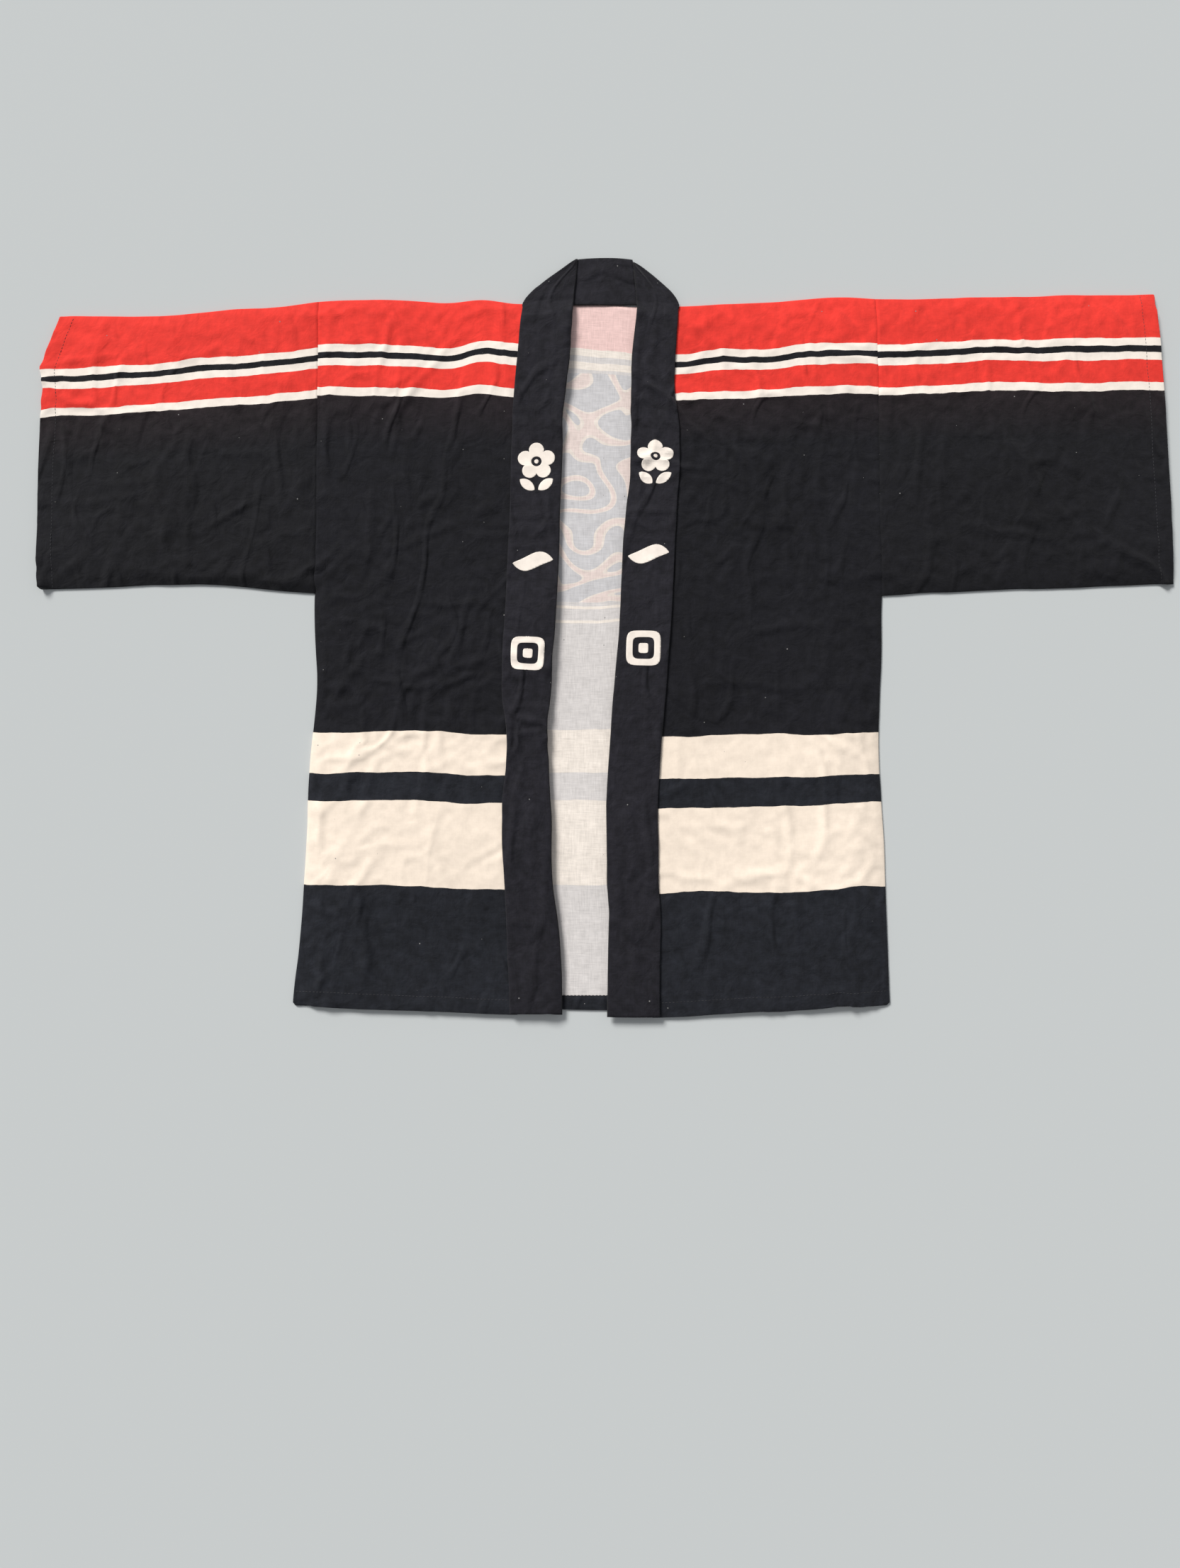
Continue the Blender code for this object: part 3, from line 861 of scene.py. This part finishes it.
def front_sheet(side):
    """One front from collar to side seam, rolled over the shoulder and hemmed below."""
    style = bpy.context.scene.coat_lay
    o, out = OUTLINES[side], OUT[side]
    under = 0.007  # of the front's width lies under the collar
    top = o.shoulder - FOLD
    length = top - o.collar_hem
    pitch = style.pitch * 0.75
    t = np.linspace(0, 1, round(length / pitch))[:, None]
    s = np.linspace(0, 1, round(FRONT_WIDTH / pitch))[None, :]

    def across(y):
        inner, outer = o.collar_seam(y) - out * under, o.side_seam(y) - out * SEAM
        return inner + (outer - inner) * s

    low = o.hem(across(np.array([[o.hem_corner.y]])))
    y = top + (low - top) * t
    x = across(y)
    points = lay(x, y)
    flat = np.stack([np.broadcast_to(x, y.shape), np.broadcast_to(FOLD + t * length, y.shape)], -1)
    # the edge: wrapped round to the back below the underarm, tucked under the sleeve above it
    edge, back = points[:, -1], lay(x[:, -1], y[:, -1], "back")
    wrapped = rise((o.underarm + 0.004 - y[:, -1]) / 0.012)[:, None]
    outward = np.array([out, 0.0, 0.0])
    extra, places = [], []
    tuck = ((0.0004, -0.0003), (0.0007, -0.0008), (0.0011, -0.0013), (0.0018, -0.0016), (0.003, -0.0018))
    wraps = half_turn(edge, back, outward * SEAM, [math.pi * k / 4 for k in (1, 2, 3, 4)])
    wraps.append(back - outward * 0.003 + np.array([0, 0, 0.0006]))
    for k, (wrap, (aside, down)) in enumerate(zip(wraps, tuck), 1):
        tucked = edge + outward * aside + np.array([0, 0, down])
        extra.append(wrap * wrapped + tucked * (1 - wrapped))
        places.append(flat[:, -1] + np.array([out * 0.0006 * k, 0]))
    points = np.concatenate([points, np.stack(extra, 1)], 1)
    flat = np.concatenate([flat, np.stack(places, 1)], 1)
    # the hem, turned up inside
    inward = np.zeros_like(points)
    inward[:, :-4, 2] = -HEM_GAP
    points, flat = hemmed(points, flat, style.hem_turn, inward)
    # the shoulder, rolled over to meet the back
    first, back = points[0], lay(flat[0, :, 0], np.full(points.shape[1], top), "back")
    back[:, :2] = first[:, :2]
    steps = range(5, 0, -1)
    over = half_turn(first, back, np.array([0, FOLD, 0]), [math.pi * k / 5 for k in steps])
    points = np.concatenate([[back + np.array([0, -0.004, 0.0006])], over, points])
    flat = np.concatenate([[flat[0] - [0, 0.012]], [flat[0] - [0, 0.0011 * k] for k in steps], flat])
    return grid_mesh(f"{side}_front_sheet", points, np.maximum(flat, [-9, -0.01]), flip=out > 0, lean=-out)


class COAT_OT_fronts(bpy.types.Operator):
    """Makes both fronts, from the shoulder fold to the turned hem"""

    bl_idname = "coat.fronts"
    bl_label = "Fronts"

    def execute(self, context):
        for side in SIDES:
            mesh = front_sheet(side)
            thick = context.scene.coat_lay.thickness
            piece = cloth_piece(f"{side}_front_sheet", mesh, body_materials(), thick)
            bends_with_front(piece)
            parts = ("front_upper", "front_lower", "front_hem", "shoulder_fold", "side_seam")
            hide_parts(*(f"{side}_{part}" for part in parts))
        return {"FINISHED"}


class COAT_OT_back(bpy.types.Operator):
    """Makes the back, lying reverse side up, with its hem turned"""

    bl_idname = "coat.back"
    bl_label = "Back"

    def execute(self, context):
        style, dyes = context.scene.coat_lay, context.scene.coat_print
        right, left = OUTLINES["right"], OUTLINES["left"]
        top = right.shoulder - FOLD
        pitch = style.pitch * 1.35
        bottom = float(BACK_HEM((right.hem_corner.x + left.hem_corner.x) / 2))
        t = np.linspace(0, 1, round((top - bottom) / pitch))[:, None]
        s = np.linspace(0, 1, round((left.armhole - right.armhole) / pitch))[None, :]

        def across(y):
            low, high = right.side_seam(y) + SEAM, left.side_seam(y) - SEAM
            return low + (high - low) * s

        low = BACK_HEM(across(np.array([[right.hem_corner.y]])))
        y = top + (low - top) * t
        x = across(y)
        points = lay(x, y, "back")
        flat = np.stack([np.broadcast_to(x, y.shape), np.broadcast_to(FOLD + t * (top - bottom), y.shape)], -1)
        inward = np.zeros_like(points)
        inward[..., 2] = HEM_GAP
        points, flat = hemmed(points, flat, style.hem_turn, inward)
        mesh = grid_mesh("back_sheet", points, flat)
        bands = ((0.3265, 0.3295), (0.3415, 0.3445), (0.456, 0.5004), (0.528, 0.614))
        outer = printed_cotton("printed back cotton", dyes.black, bands, mark=True)
        inside = {"reverse": True, "mark": True, "weave": REVERSE_WEAVE}
        inner = printed_cotton("printed back cotton reverse", dyes.black, bands, **inside)
        piece = cloth_piece("back_sheet", mesh, (outer, inner), style.thickness)
        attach(piece, COAT)
        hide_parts("back_panel", "back_hem")
        return {"FINISHED"}


# How a sleeve's fold lies off the print: distance from the fold to the stripes' start at armhole and cuff.
ROLLED = {"right": (0.0012, 0.0083), "left": (-0.0006, -0.003)}


def sleeve_sheet(side):
    """A sleeve as one closed tube, folded along its top, with its cuff turned back inside."""
    style = bpy.context.scene.coat_lay
    o, out = OUTLINES[side], OUT[side]
    length = abs(float(o.cuff(0.15)) - o.armhole)
    p = np.linspace(0, 1, round(length / style.pitch))[:, None]
    across = round((o.shoulder - o.underarm) / style.pitch)
    q = np.linspace(0, 1, across)[None, :]
    root = (o.shoulder - FOLD) + (o.underarm + SEAM - o.shoulder + FOLD) * q
    end_y = (o.cuff_high - FOLD) + (o.cuff_low + SEAM - o.cuff_high + FOLD) * q
    end_x = o.cuff(end_y)
    x, y = o.armhole + (end_x - o.armhole) * p, root + (end_y - root) * p
    upper, lower = lay(x, y), lay(x, y, "back")
    lower[..., 0] += (upper[..., 0] - out * 0.0014 - lower[..., 0]) * p**5
    depth = np.abs(np.diff(y, axis=1)).sum(1, keepdims=True)
    roll = ROLLED[side][0] + (ROLLED[side][1] - ROLLED[side][0]) * p
    down = FOLD + q * depth
    ring = tube(upper, lower, np.array([0, -SEAM, 0]), np.array([0, FOLD, 0]), 6)
    top_flat = np.linspace(0.8, 0, 5)[None, :] * FOLD + 0 * p
    flat_v = np.concatenate([down - roll, np.repeat(depth + FOLD - roll, 5, 1), down[:, ::-1] + roll, top_flat], 1)
    flat = np.stack([np.broadcast_to(p * length, flat_v.shape), np.maximum(flat_v, 0)], -1)
    # which way is inside, at each point of the ring
    inward = np.zeros_like(ring)
    count = upper.shape[1]
    inward[:, :count, 2] = -HEM_GAP
    inward[:, count + 5 : 2 * count + 5, 2] = HEM_GAP
    for turned, edge in ((slice(count, count + 5), -1), (slice(2 * count + 5, None), 0)):
        middle = (upper[:, edge] + lower[:, edge]) / 2
        inward[:, turned] = (middle[:, None] - ring[:, turned]) * 0.3
    ring, flat = hemmed(ring, flat, style.cuff_turn, inward)
    # the armhole edge, tucked inside the body
    steps = ((3.2, 0.003), (2.2, 0.0012), (1.0, 0.0004), (0.35, 0.0001))
    tucked = [ring[0] + inward[0] * share + np.array([-out * aside, 0, 0]) for share, aside in steps]
    ring = np.concatenate([tucked, ring])
    flat = np.concatenate([[flat[0] - [0.001 * k, 0] for k in (4, 3, 2, 1)], flat])
    return grid_mesh(f"{side}_sleeve_cloth", ring, flat, cyclic=True, flip=out < 0)


class COAT_OT_sleeves(bpy.types.Operator):
    """Makes both sleeves as tubes that carry on from the body"""

    bl_idname = "coat.sleeves"
    bl_label = "Sleeves"

    def execute(self, context):
        style, dyes = context.scene.coat_lay, context.scene.coat_print
        outer = printed_cotton("printed sleeve cotton", dyes.sleeve_black, ())
        inside = {"reverse": True, "weave": REVERSE_WEAVE}
        inner = printed_cotton("printed sleeve cotton reverse", dyes.sleeve_black, (), **inside)
        for side in SIDES:
            piece = cloth_piece(f"{side}_sleeve_cloth", sleeve_sheet(side), (outer, inner), style.thickness)
            bends_with_sleeve(piece)
            parts = ("sleeve_back", "sleeve_front", "cuff_back", "cuff_front", "sleeve_fold", "underarm_seam")
            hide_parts(*(f"{side}_{part}" for part in parts))
        return {"FINISHED"}


# ---------------------------------------------------------------- the collar


COLLAR_HALF = 0.00085  # half the folded band's thickness


def collar_puckers(x, y):
    soft = 0.0008 * ripple(x, y, 0.034, 21) + 0.0003 * ripple(x, y, 0.014, 22)
    across = (1 - np.abs(ripple(0.35 * x, y, 0.03, 23))) ** 8
    return soft + 0.0006 * across * rise(0.5 + ripple(x, y, 0.09, 24))


def collar_base(side, x, y):
    """The middle of the folded band over places on the flat pattern."""
    o = OUTLINES[side]
    base = lay(x, y)
    lift = 0.0003 + COLLAR_HALF + bpy.context.scene.coat_lay.thickness + 0.0006 * rise((0.07 - y) / 0.06)
    base[..., 2] += lift + collar_puckers(x, y)
    over = rise((y - o.neck_foot + 0.03) / 0.035)
    settle = 0.0046 - 0.0012 * rise((y - o.neck_foot) / (o.neck_top - o.neck_foot))
    lower = base[..., 2] * (1 - over) + (settle + collar_puckers(x, y)) * over
    base[..., 2] = np.where(y <= o.shoulder + 0.001, np.maximum(lower, base[..., 2]), lower)
    return base


def collar_band(side):
    """One side of the collar: a band folded double, from the hem up and round to the neck."""
    style = bpy.context.scene.coat_lay
    o, out = OUTLINES[side], OUT[side]
    foot = o.neck_foot
    y = np.linspace(o.collar_hem, foot, round((foot - o.collar_hem) / (style.pitch * 0.7)))
    inner, outer = np.stack([o.front_edge(y), y], -1), np.stack([o.collar_seam(y), y], -1)
    t = np.linspace(0, 1, 30)[1:, None]
    high = o.neck_top - 0.0018
    end = np.array([o.neck_x + out * 0.0015, high])
    corner = np.array(o.turn_corner[:2])
    control = 2 * corner - (outer[-1] + end) / 2
    bow = (1 - t) ** 2 * outer[-1] + 2 * t * (1 - t) * control + t**2 * end
    side_line = inner[-1] + (np.array([o.neck_x, high]) - inner[-1]) * t
    inner, outer = np.concatenate([inner, side_line]), np.concatenate([outer, bow])
    count = 23
    s = np.linspace(0, 1, count)[None, :, None]
    width = np.linalg.norm(outer - inner, axis=-1)[:, None]
    ends = np.minimum(COLLAR_HALF / np.maximum(width, 1e-4), 0.4)[..., None]
    place = inner[:, None] + (outer - inner)[:, None] * (ends + (1 - 2 * ends) * s)
    middle = collar_base(side, place[..., 0], place[..., 1])
    along = np.concatenate([[0], np.cumsum(np.hypot(*np.diff((inner + outer) / 2, axis=0).T))])
    up = np.array([0, 0, COLLAR_HALF])
    direction = np.zeros((len(inner), 3))
    direction[:, :2] = (outer - inner) / width
    slim = np.minimum(1, width / 0.004)[:, :, None]
    edge = direction * COLLAR_HALF
    ring = tube(middle + up * slim, middle - up * slim, edge, -edge, 4)
    flat = round_and_along(ring, len(y) // 2, along[:, None])
    return grid_mesh(f"{side}_collar_band", ring, flat, cyclic=True, flip=out < 0, lean=-out)


def neck_band():
    """The stretch of collar behind the neck, its ends lying under the two sides."""
    right, left = OUTLINES["right"], OUTLINES["left"]
    low, high = right.neck_foot, right.neck_top
    half = 0.0008
    share = np.linspace(0, 1, 20)[None, :]
    beyond = 0.0004 + 0.006 * (1 - share)
    x = right.neck_x - beyond + (left.neck_x - right.neck_x + 2 * beyond) * np.linspace(0, 1, 26)[:, None]
    middle = (right.neck_x + left.neck_x) / 2
    dip = 0.0018 * np.clip(((x - middle) / 0.029) ** 2, 0, 1.2)
    y = low + half + (high - dip - low - 2 * half) * share
    z = 0.0021 + 0.0005 * ripple(x, y, 0.02, 31) - 0.0006 * rise((share - 0.1) / 0.4)
    base = np.stack([x, y, z], -1)
    up, ahead = np.array([0, 0, half]), np.array([0, half, 0])
    ring = tube(base + up, base - up, ahead, -ahead, 4)
    return grid_mesh("neck_band", ring, round_and_along(ring, 5, x[:, :1]), cyclic=True)


class COAT_OT_collar(bpy.types.Operator):
    """Makes the folded collar band, down both fronts and behind the neck"""

    bl_idname = "coat.collar"
    bl_label = "Collar"

    def execute(self, context):
        style, dyes = context.scene.coat_lay, context.scene.coat_print
        cotton = plain_cotton("charcoal collar cotton", dyes.collar_black, crinkle=1.0, weave=1.2)
        for side in SIDES:
            piece = cloth_piece(f"{side}_collar_band", collar_band(side), (cotton, cotton), style.thickness)
            bends_with_front(piece)
            parts = ("collar_upper", "collar_lower", "collar_turn", "collar_roll")
            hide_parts(*(f"{side}_{part}" for part in parts))
        piece = cloth_piece("neck_band", neck_band(), (cotton, cotton), style.thickness)
        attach(piece, COAT)
        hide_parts("neck_collar")
        return {"FINISHED"}


# ---------------------------------------------------------------- printed motifs


def oval(width, height, count=40, drawn_in=0.0):
    """An ellipse or, with its sides drawn in, a leaf."""
    turns = np.linspace(0, math.tau, count, endpoint=False)
    along, beside = np.cos(turns), np.sin(turns)
    return np.stack([width / 2 * along, height / 2 * beside * np.abs(beside) ** drawn_in], -1)


def leaf(width, height, tilt=0.0):
    c, s = math.cos(tilt), math.sin(tilt)
    return oval(width, height, 36, 0.6) @ np.array([[c, s], [-s, c]])


def rounded_square(side):
    power = 5  # the higher, the squarer
    turns = np.linspace(0, math.tau, 48, endpoint=False)
    c, s = np.cos(turns), np.sin(turns)
    size = (np.abs(c) ** power + np.abs(s) ** power) ** (-1 / power)
    return np.stack([side / 2 * c * size, side / 2 * s * size], -1)


def blossom(size, petals=5):
    turns = np.linspace(0, math.tau, 100, endpoint=False) + math.pi / 2
    radius = size / 2 * (0.64 + 0.36 * np.abs(np.cos(petals / 2 * (turns - math.pi / 2))) ** 0.7)
    return np.stack([radius * np.cos(turns), radius * np.sin(turns)], -1)


def brush_stroke(width, height):
    """A leaf drawn into a long shallow wave."""
    points = leaf(width, height)
    points[:, 1] += 0.22 * height * np.sin(points[:, 0] / width * math.tau * 0.8)
    return points


MOTIFS = (
    # distance below the shoulder, and outlines with their holes
    (
        0.180,
        (
            blossom(0.039) + (0, 0.006),
            oval(0.0105, 0.0105) + (0, 0.006),
            oval(0.0045, 0.0045) + (0, 0.006),
            leaf(0.019, 0.010, tilt=math.radians(-38)) + (-0.0095, -0.0185),
            leaf(0.019, 0.010, tilt=math.radians(38)) + (0.0095, -0.0185),
        ),
    ),
    (0.279, (brush_stroke(0.041, 0.016),)),
    (0.375, (rounded_square(0.035), rounded_square(0.022), rounded_square(0.010))),
)


def motif_mesh(side, below, outlines):
    """A printed shape draped over the collar, following its surface."""
    o, out = OUTLINES[side], OUT[side]
    y = o.shoulder - below
    centre = Vector(((float(o.front_edge(y)) + float(o.collar_seam(y))) / 2, y, 0))
    curve = bpy.data.curves.new("motif", "CURVE")
    curve.dimensions, curve.fill_mode = "2D", "BOTH"
    for outline in outlines:
        spline = curve.splines.new("POLY")
        spline.points.add(len(outline) - 1)
        for point, (x, y_off) in zip(spline.points, outline):
            point.co = (x, y_off, 0, 1)
        spline.use_cyclic_u = True
    helper = new_object("motif_outline", curve)
    bpy.context.view_layer.update()
    graph = bpy.context.evaluated_depsgraph_get()
    mesh = bpy.data.meshes.new_from_object(helper.evaluated_get(graph), depsgraph=graph)
    bpy.data.objects.remove(helper)
    shape = bmesh.new()
    shape.from_mesh(mesh)
    bmesh.ops.remove_doubles(shape, verts=shape.verts, dist=1e-5)
    for axis in (Vector((1, 0, 0)), Vector((0, 1, 0))):
        for at in np.arange(-0.03, 0.0301, 0.0017):
            whole = shape.verts[:] + shape.edges[:] + shape.faces[:]
            bmesh.ops.bisect_plane(shape, geom=whole, plane_co=axis * float(at), plane_no=axis)
    bmesh.ops.triangulate(shape, faces=shape.faces)
    for face in shape.faces:
        if face.normal.z < 0:
            face.normal_flip()
    layer = shape.loops.layers.uv.new("cloth")
    for face in shape.faces:
        for loop in face.loops:
            loop[layer].uv = loop.vert.co.xy
    # laid on the band, which is found from above
    flat = np.array([v.co[:2] for v in shape.verts]) + np.array(centre[:2])
    band = bpy.data.objects[f"{side}_collar_band"].data
    surface = BVHTree.FromPolygons([v.co for v in band.vertices], [f.vertices for f in band.polygons])
    for vert, (x, y, z) in zip(shape.verts, collar_base(side, flat[:, 0], flat[:, 1])):
        hit = surface.ray_cast(Vector((x, y, 0.05)), Vector((0, 0, -1)))[0]
        vert.co = hit + Vector((0, 0, 0.0004))
    shape.to_mesh(mesh)
    shape.free()
    mesh.polygons.foreach_set("use_smooth", [True] * len(mesh.polygons))
    return mesh


class COAT_OT_motifs(bpy.types.Operator):
    """Prints three plain shapes down each side of the collar"""

    bl_idname = "coat.motifs"
    bl_label = "Collar Motifs"

    def execute(self, context):
        cream = context.scene.coat_print.cream
        ink = plain_cotton("cream pigment print", cream, rough=0.8, crinkle=0.7, weave=0.7)
        for side in SIDES:
            for number, (below, outlines) in enumerate(MOTIFS, 1):
                mesh = motif_mesh(side, below, outlines)
                mesh.materials.append(ink)
                piece = new_object(f"{side}_motif_{number}", mesh)
                solid = piece.modifiers.new("thickness", "SOLIDIFY")
                solid.thickness, solid.offset = 0.0004, -1
                made_plain(piece)
                bends_with_front(piece)
        return {"FINISHED"}


# ---------------------------------------------------------------- stitching


def stitch_tree(material):
    """Geometry Nodes that lay a stitch at every pitch along a line."""
    tree = bpy.data.node_groups.new("running stitches", "GeometryNodeTree")
    face = tree.interface
    face.new_socket("Geometry", in_out="OUTPUT", socket_type="NodeSocketGeometry")
    face.new_socket("Geometry", in_out="INPUT", socket_type="NodeSocketGeometry")
    for name in ("Pitch", "Length", "Thread"):
        face.new_socket(name, in_out="INPUT", socket_type="NodeSocketFloat")
    given = add(tree, "NodeGroupInput")
    line = add(tree, "GeometryNodeMeshToCurve", {0: given.outputs["Geometry"]})
    spots = add(tree, "GeometryNodeCurveToPoints", {0: line, "Length": given.outputs["Pitch"]}, mode="LENGTH")
    bead = add(tree, "GeometryNodeMeshUVSphere", {"Segments": 6, "Rings": 5, "Radius": 0.5})
    sides = {"X": given.outputs["Thread"], "Y": given.outputs["Thread"], "Z": given.outputs["Length"]}
    size = add(tree, "CombineXYZ", sides)
    shaped = add(tree, "GeometryNodeTransform", {0: bead.outputs["Mesh"], "Scale": size})
    at = {"Points": spots.outputs["Points"], "Instance": shaped, "Rotation": spots.outputs["Rotation"]}
    placed = add(tree, "GeometryNodeInstanceOnPoints", at)
    real = add(tree, "GeometryNodeRealizeInstances", {0: placed})
    done = add(tree, "GeometryNodeSetMaterial", {0: real, "Material": material})
    add(tree, "NodeGroupOutput", {0: done})
    return tree


def stitched(name, lines, tree):
    """Stitches along lines of points, as one plain mesh."""
    style = bpy.context.scene.coat_stitches
    points = np.concatenate(lines)
    edges, start = [], 0
    for line in lines:
        edges += [(start + k, start + k + 1) for k in range(len(line) - 1)]
        start += len(line)
    mesh = bpy.data.meshes.new(name)
    mesh.from_pydata(points.tolist(), edges, [])
    piece = new_object(name, mesh)
    modifier = piece.modifiers.new("stitches", "NODES")
    modifier.node_group = tree
    for item in tree.interface.items_tree:
        if item.in_out == "INPUT" and item.name != "Geometry":
            modifier[item.identifier] = getattr(style, item.name.lower())
    made_plain(piece)
    piece.data.polygons.foreach_set("use_smooth", [True] * len(piece.data.polygons))
    return piece


class COAT_OT_stitches(bpy.types.Operator):
    """Sews the hems and cuffs"""

    bl_idname = "coat.stitches"
    bl_label = "Stitching"

    def execute(self, context):
        style = context.scene.coat_lay
        thread = sewing_thread()
        tree = stitch_tree(thread)
        above = style.thickness / 2 + 0.0001
        for side in SIDES:
            o, out = OUTLINES[side], OUT[side]
            outer, inner = o.side_seam(o.hem_corner.y) - out * 0.002, o.collar_seam(o.collar_hem)
            x = np.linspace(float(outer), float(inner), 90)
            line = lay(x, o.hem(x) + style.hem_turn - 0.001)
            line[:, 2] += above
            piece = stitched(f"{side}_hem_stitches", [line], tree)
            bends_with_front(piece)
            y = np.linspace(o.cuff_high - 0.004, o.cuff_low + 0.002, 110)
            x = o.cuff(y) - out * (style.cuff_turn - 0.001)
            upper, lower = lay(x, y), lay(x, y, "back")
            upper[:, 2] += above
            lower[:, 2] -= 0.0001
            piece = stitched(f"{side}_cuff_stitches", [upper, lower], tree)
            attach(piece, f"{side}_sleeve")
        x = np.linspace(OUTLINES["right"].hem_corner.x + 0.002, OUTLINES["left"].hem_corner.x - 0.002, 200)
        line = lay(x, BACK_HEM(x) + style.hem_turn - 0.001, "back")
        line[:, 2] += above + 0.0011
        piece = stitched("back_hem_stitches", [line], tree)
        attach(piece, COAT)
        return {"FINISHED"}


def sewing_thread():
    """Black spun sewing thread: a soft sheen along each stitch."""
    material, tree = fresh_material("black sewing thread")
    place = add(tree, "TexCoord")
    twist = add(tree, "TexNoise", {"Vector": place.outputs["Object"], "Scale": 1500.0, "Detail": 1.0})
    colour = add(tree, "ValToRGB", {"Fac": twist})
    stops = ((0.3, "1B1A1E"), (0.7, "333238"))
    for element, (position, code) in zip(colour.color_ramp.elements, stops):
        element.position, element.color = position, linear(code)
    bump = add(tree, "Bump", {"Height": twist, "Distance": 0.0002, "Strength": 0.6})
    finish = {"Base Color": colour, "Roughness": 0.6, "Sheen Weight": 0.2, "Normal": bump}
    shader = add(tree, "BsdfPrincipled", finish)
    add(tree, "OutputMaterial", {"Surface": shader})
    return material


# ---------------------------------------------------------------- the stage


class COAT_OT_stage(bpy.types.Operator):
    """Sets the pale floor, the soft lights and the camera"""

    bl_idname = "coat.stage"
    bl_label = "Stage"

    def execute(self, context):
        style, scene = context.scene.coat_stage, context.scene
        mesh = bpy.data.meshes.new("floor")
        half = 14.0
        corners = [(x * half, y * half, 0) for x, y in ((-1, -1), (1, -1), (1, 1), (-1, 1))]
        mesh.from_pydata(corners, [], [(0, 1, 2, 3)])
        floor = new_object("floor", mesh)
        material, tree = fresh_material("pale matt backdrop")
        matt = {"Base Color": linear("C9CDCD"), "Roughness": 0.95, "Specular IOR Level": 0.1}
        shader = add(tree, "BsdfPrincipled", matt)
        add(tree, "OutputMaterial", {"Surface": shader})
        mesh.materials.append(material)
        world = bpy.data.worlds.new("studio")
        world.use_nodes = True
        world.node_tree.nodes.clear()
        sky = add(world.node_tree, "Background", {"Color": linear("F4F6FA"), "Strength": style.sky})
        add(world.node_tree, "OutputWorld", {"Surface": sky})
        scene.world = world
        light = bpy.data.lights.new("key light", "SUN")
        light.energy, light.angle, light.color = style.key, math.radians(22), (1.0, 0.985, 0.965)
        lamp = bpy.data.objects.new("key light", light)
        flat = math.cos(style.key_height)
        aim = Vector((flat * math.cos(style.key_from), flat * math.sin(style.key_from), math.sin(style.key_height)))
        lamp.rotation_euler = aim.to_track_quat("Z", "Y").to_euler()
        scene.collection.objects.link(lamp)
        camera = bpy.data.cameras.new("camera")
        camera.lens, camera.sensor_width, camera.clip_end = style.lens, 36.0, 60.0
        view = bpy.data.objects.new("camera", camera)
        view.location = (-0.0150, -0.2585, style.height)
        view.rotation_euler = (style.tilt, 0, 0)
        scene.collection.objects.link(view)
        scene.camera = view
        scene.view_settings.view_transform = "Standard"
        return {"FINISHED"}


# ---------------------------------------------------------------- panel and main


OPERATORS = (
    COAT_OT_settle,
    COAT_OT_back,
    COAT_OT_fronts,
    COAT_OT_sleeves,
    COAT_OT_collar,
    COAT_OT_motifs,
    COAT_OT_stitches,
    COAT_OT_stage,
)
SETTINGS = {
    "coat_lay": CoatLay,
    "coat_print": CoatPrint,
    "coat_stitches": CoatStitches,
    "coat_stage": CoatStage,
}


class COAT_PT_panel(bpy.types.Panel):
    """Lists the coat's pieces"""

    bl_idname = "COAT_PT_panel"
    bl_label = "Festival Coat"
    bl_space_type = "VIEW_3D"
    bl_region_type = "UI"
    bl_category = "Coat"

    def draw(self, context):
        for operator in OPERATORS:
            self.layout.operator(operator.bl_idname)
        for name, group in SETTINGS.items():
            settings = getattr(context.scene, name)
            box = self.layout.box()
            for key in group.__annotations__:
                box.prop(settings, key)


def register():
    for group in SETTINGS.values():
        bpy.utils.register_class(group)
    for name, group in SETTINGS.items():
        setattr(bpy.types.Scene, name, PointerProperty(type=group))
    for cls in (*OPERATORS, COAT_PT_panel):
        bpy.utils.register_class(cls)


def unregister():
    for cls in reversed((*OPERATORS, COAT_PT_panel)):
        bpy.utils.unregister_class(cls)
    for name, group in SETTINGS.items():
        delattr(bpy.types.Scene, name)
        bpy.utils.unregister_class(group)


def main():
    register()
    bpy.ops.coat.settle()
    bpy.ops.coat.back()
    bpy.ops.coat.fronts()
    bpy.ops.coat.sleeves()
    bpy.ops.coat.collar()
    bpy.ops.coat.motifs()
    bpy.ops.coat.stitches()
    bpy.ops.coat.stage()


if __name__ == "__main__":
    main()
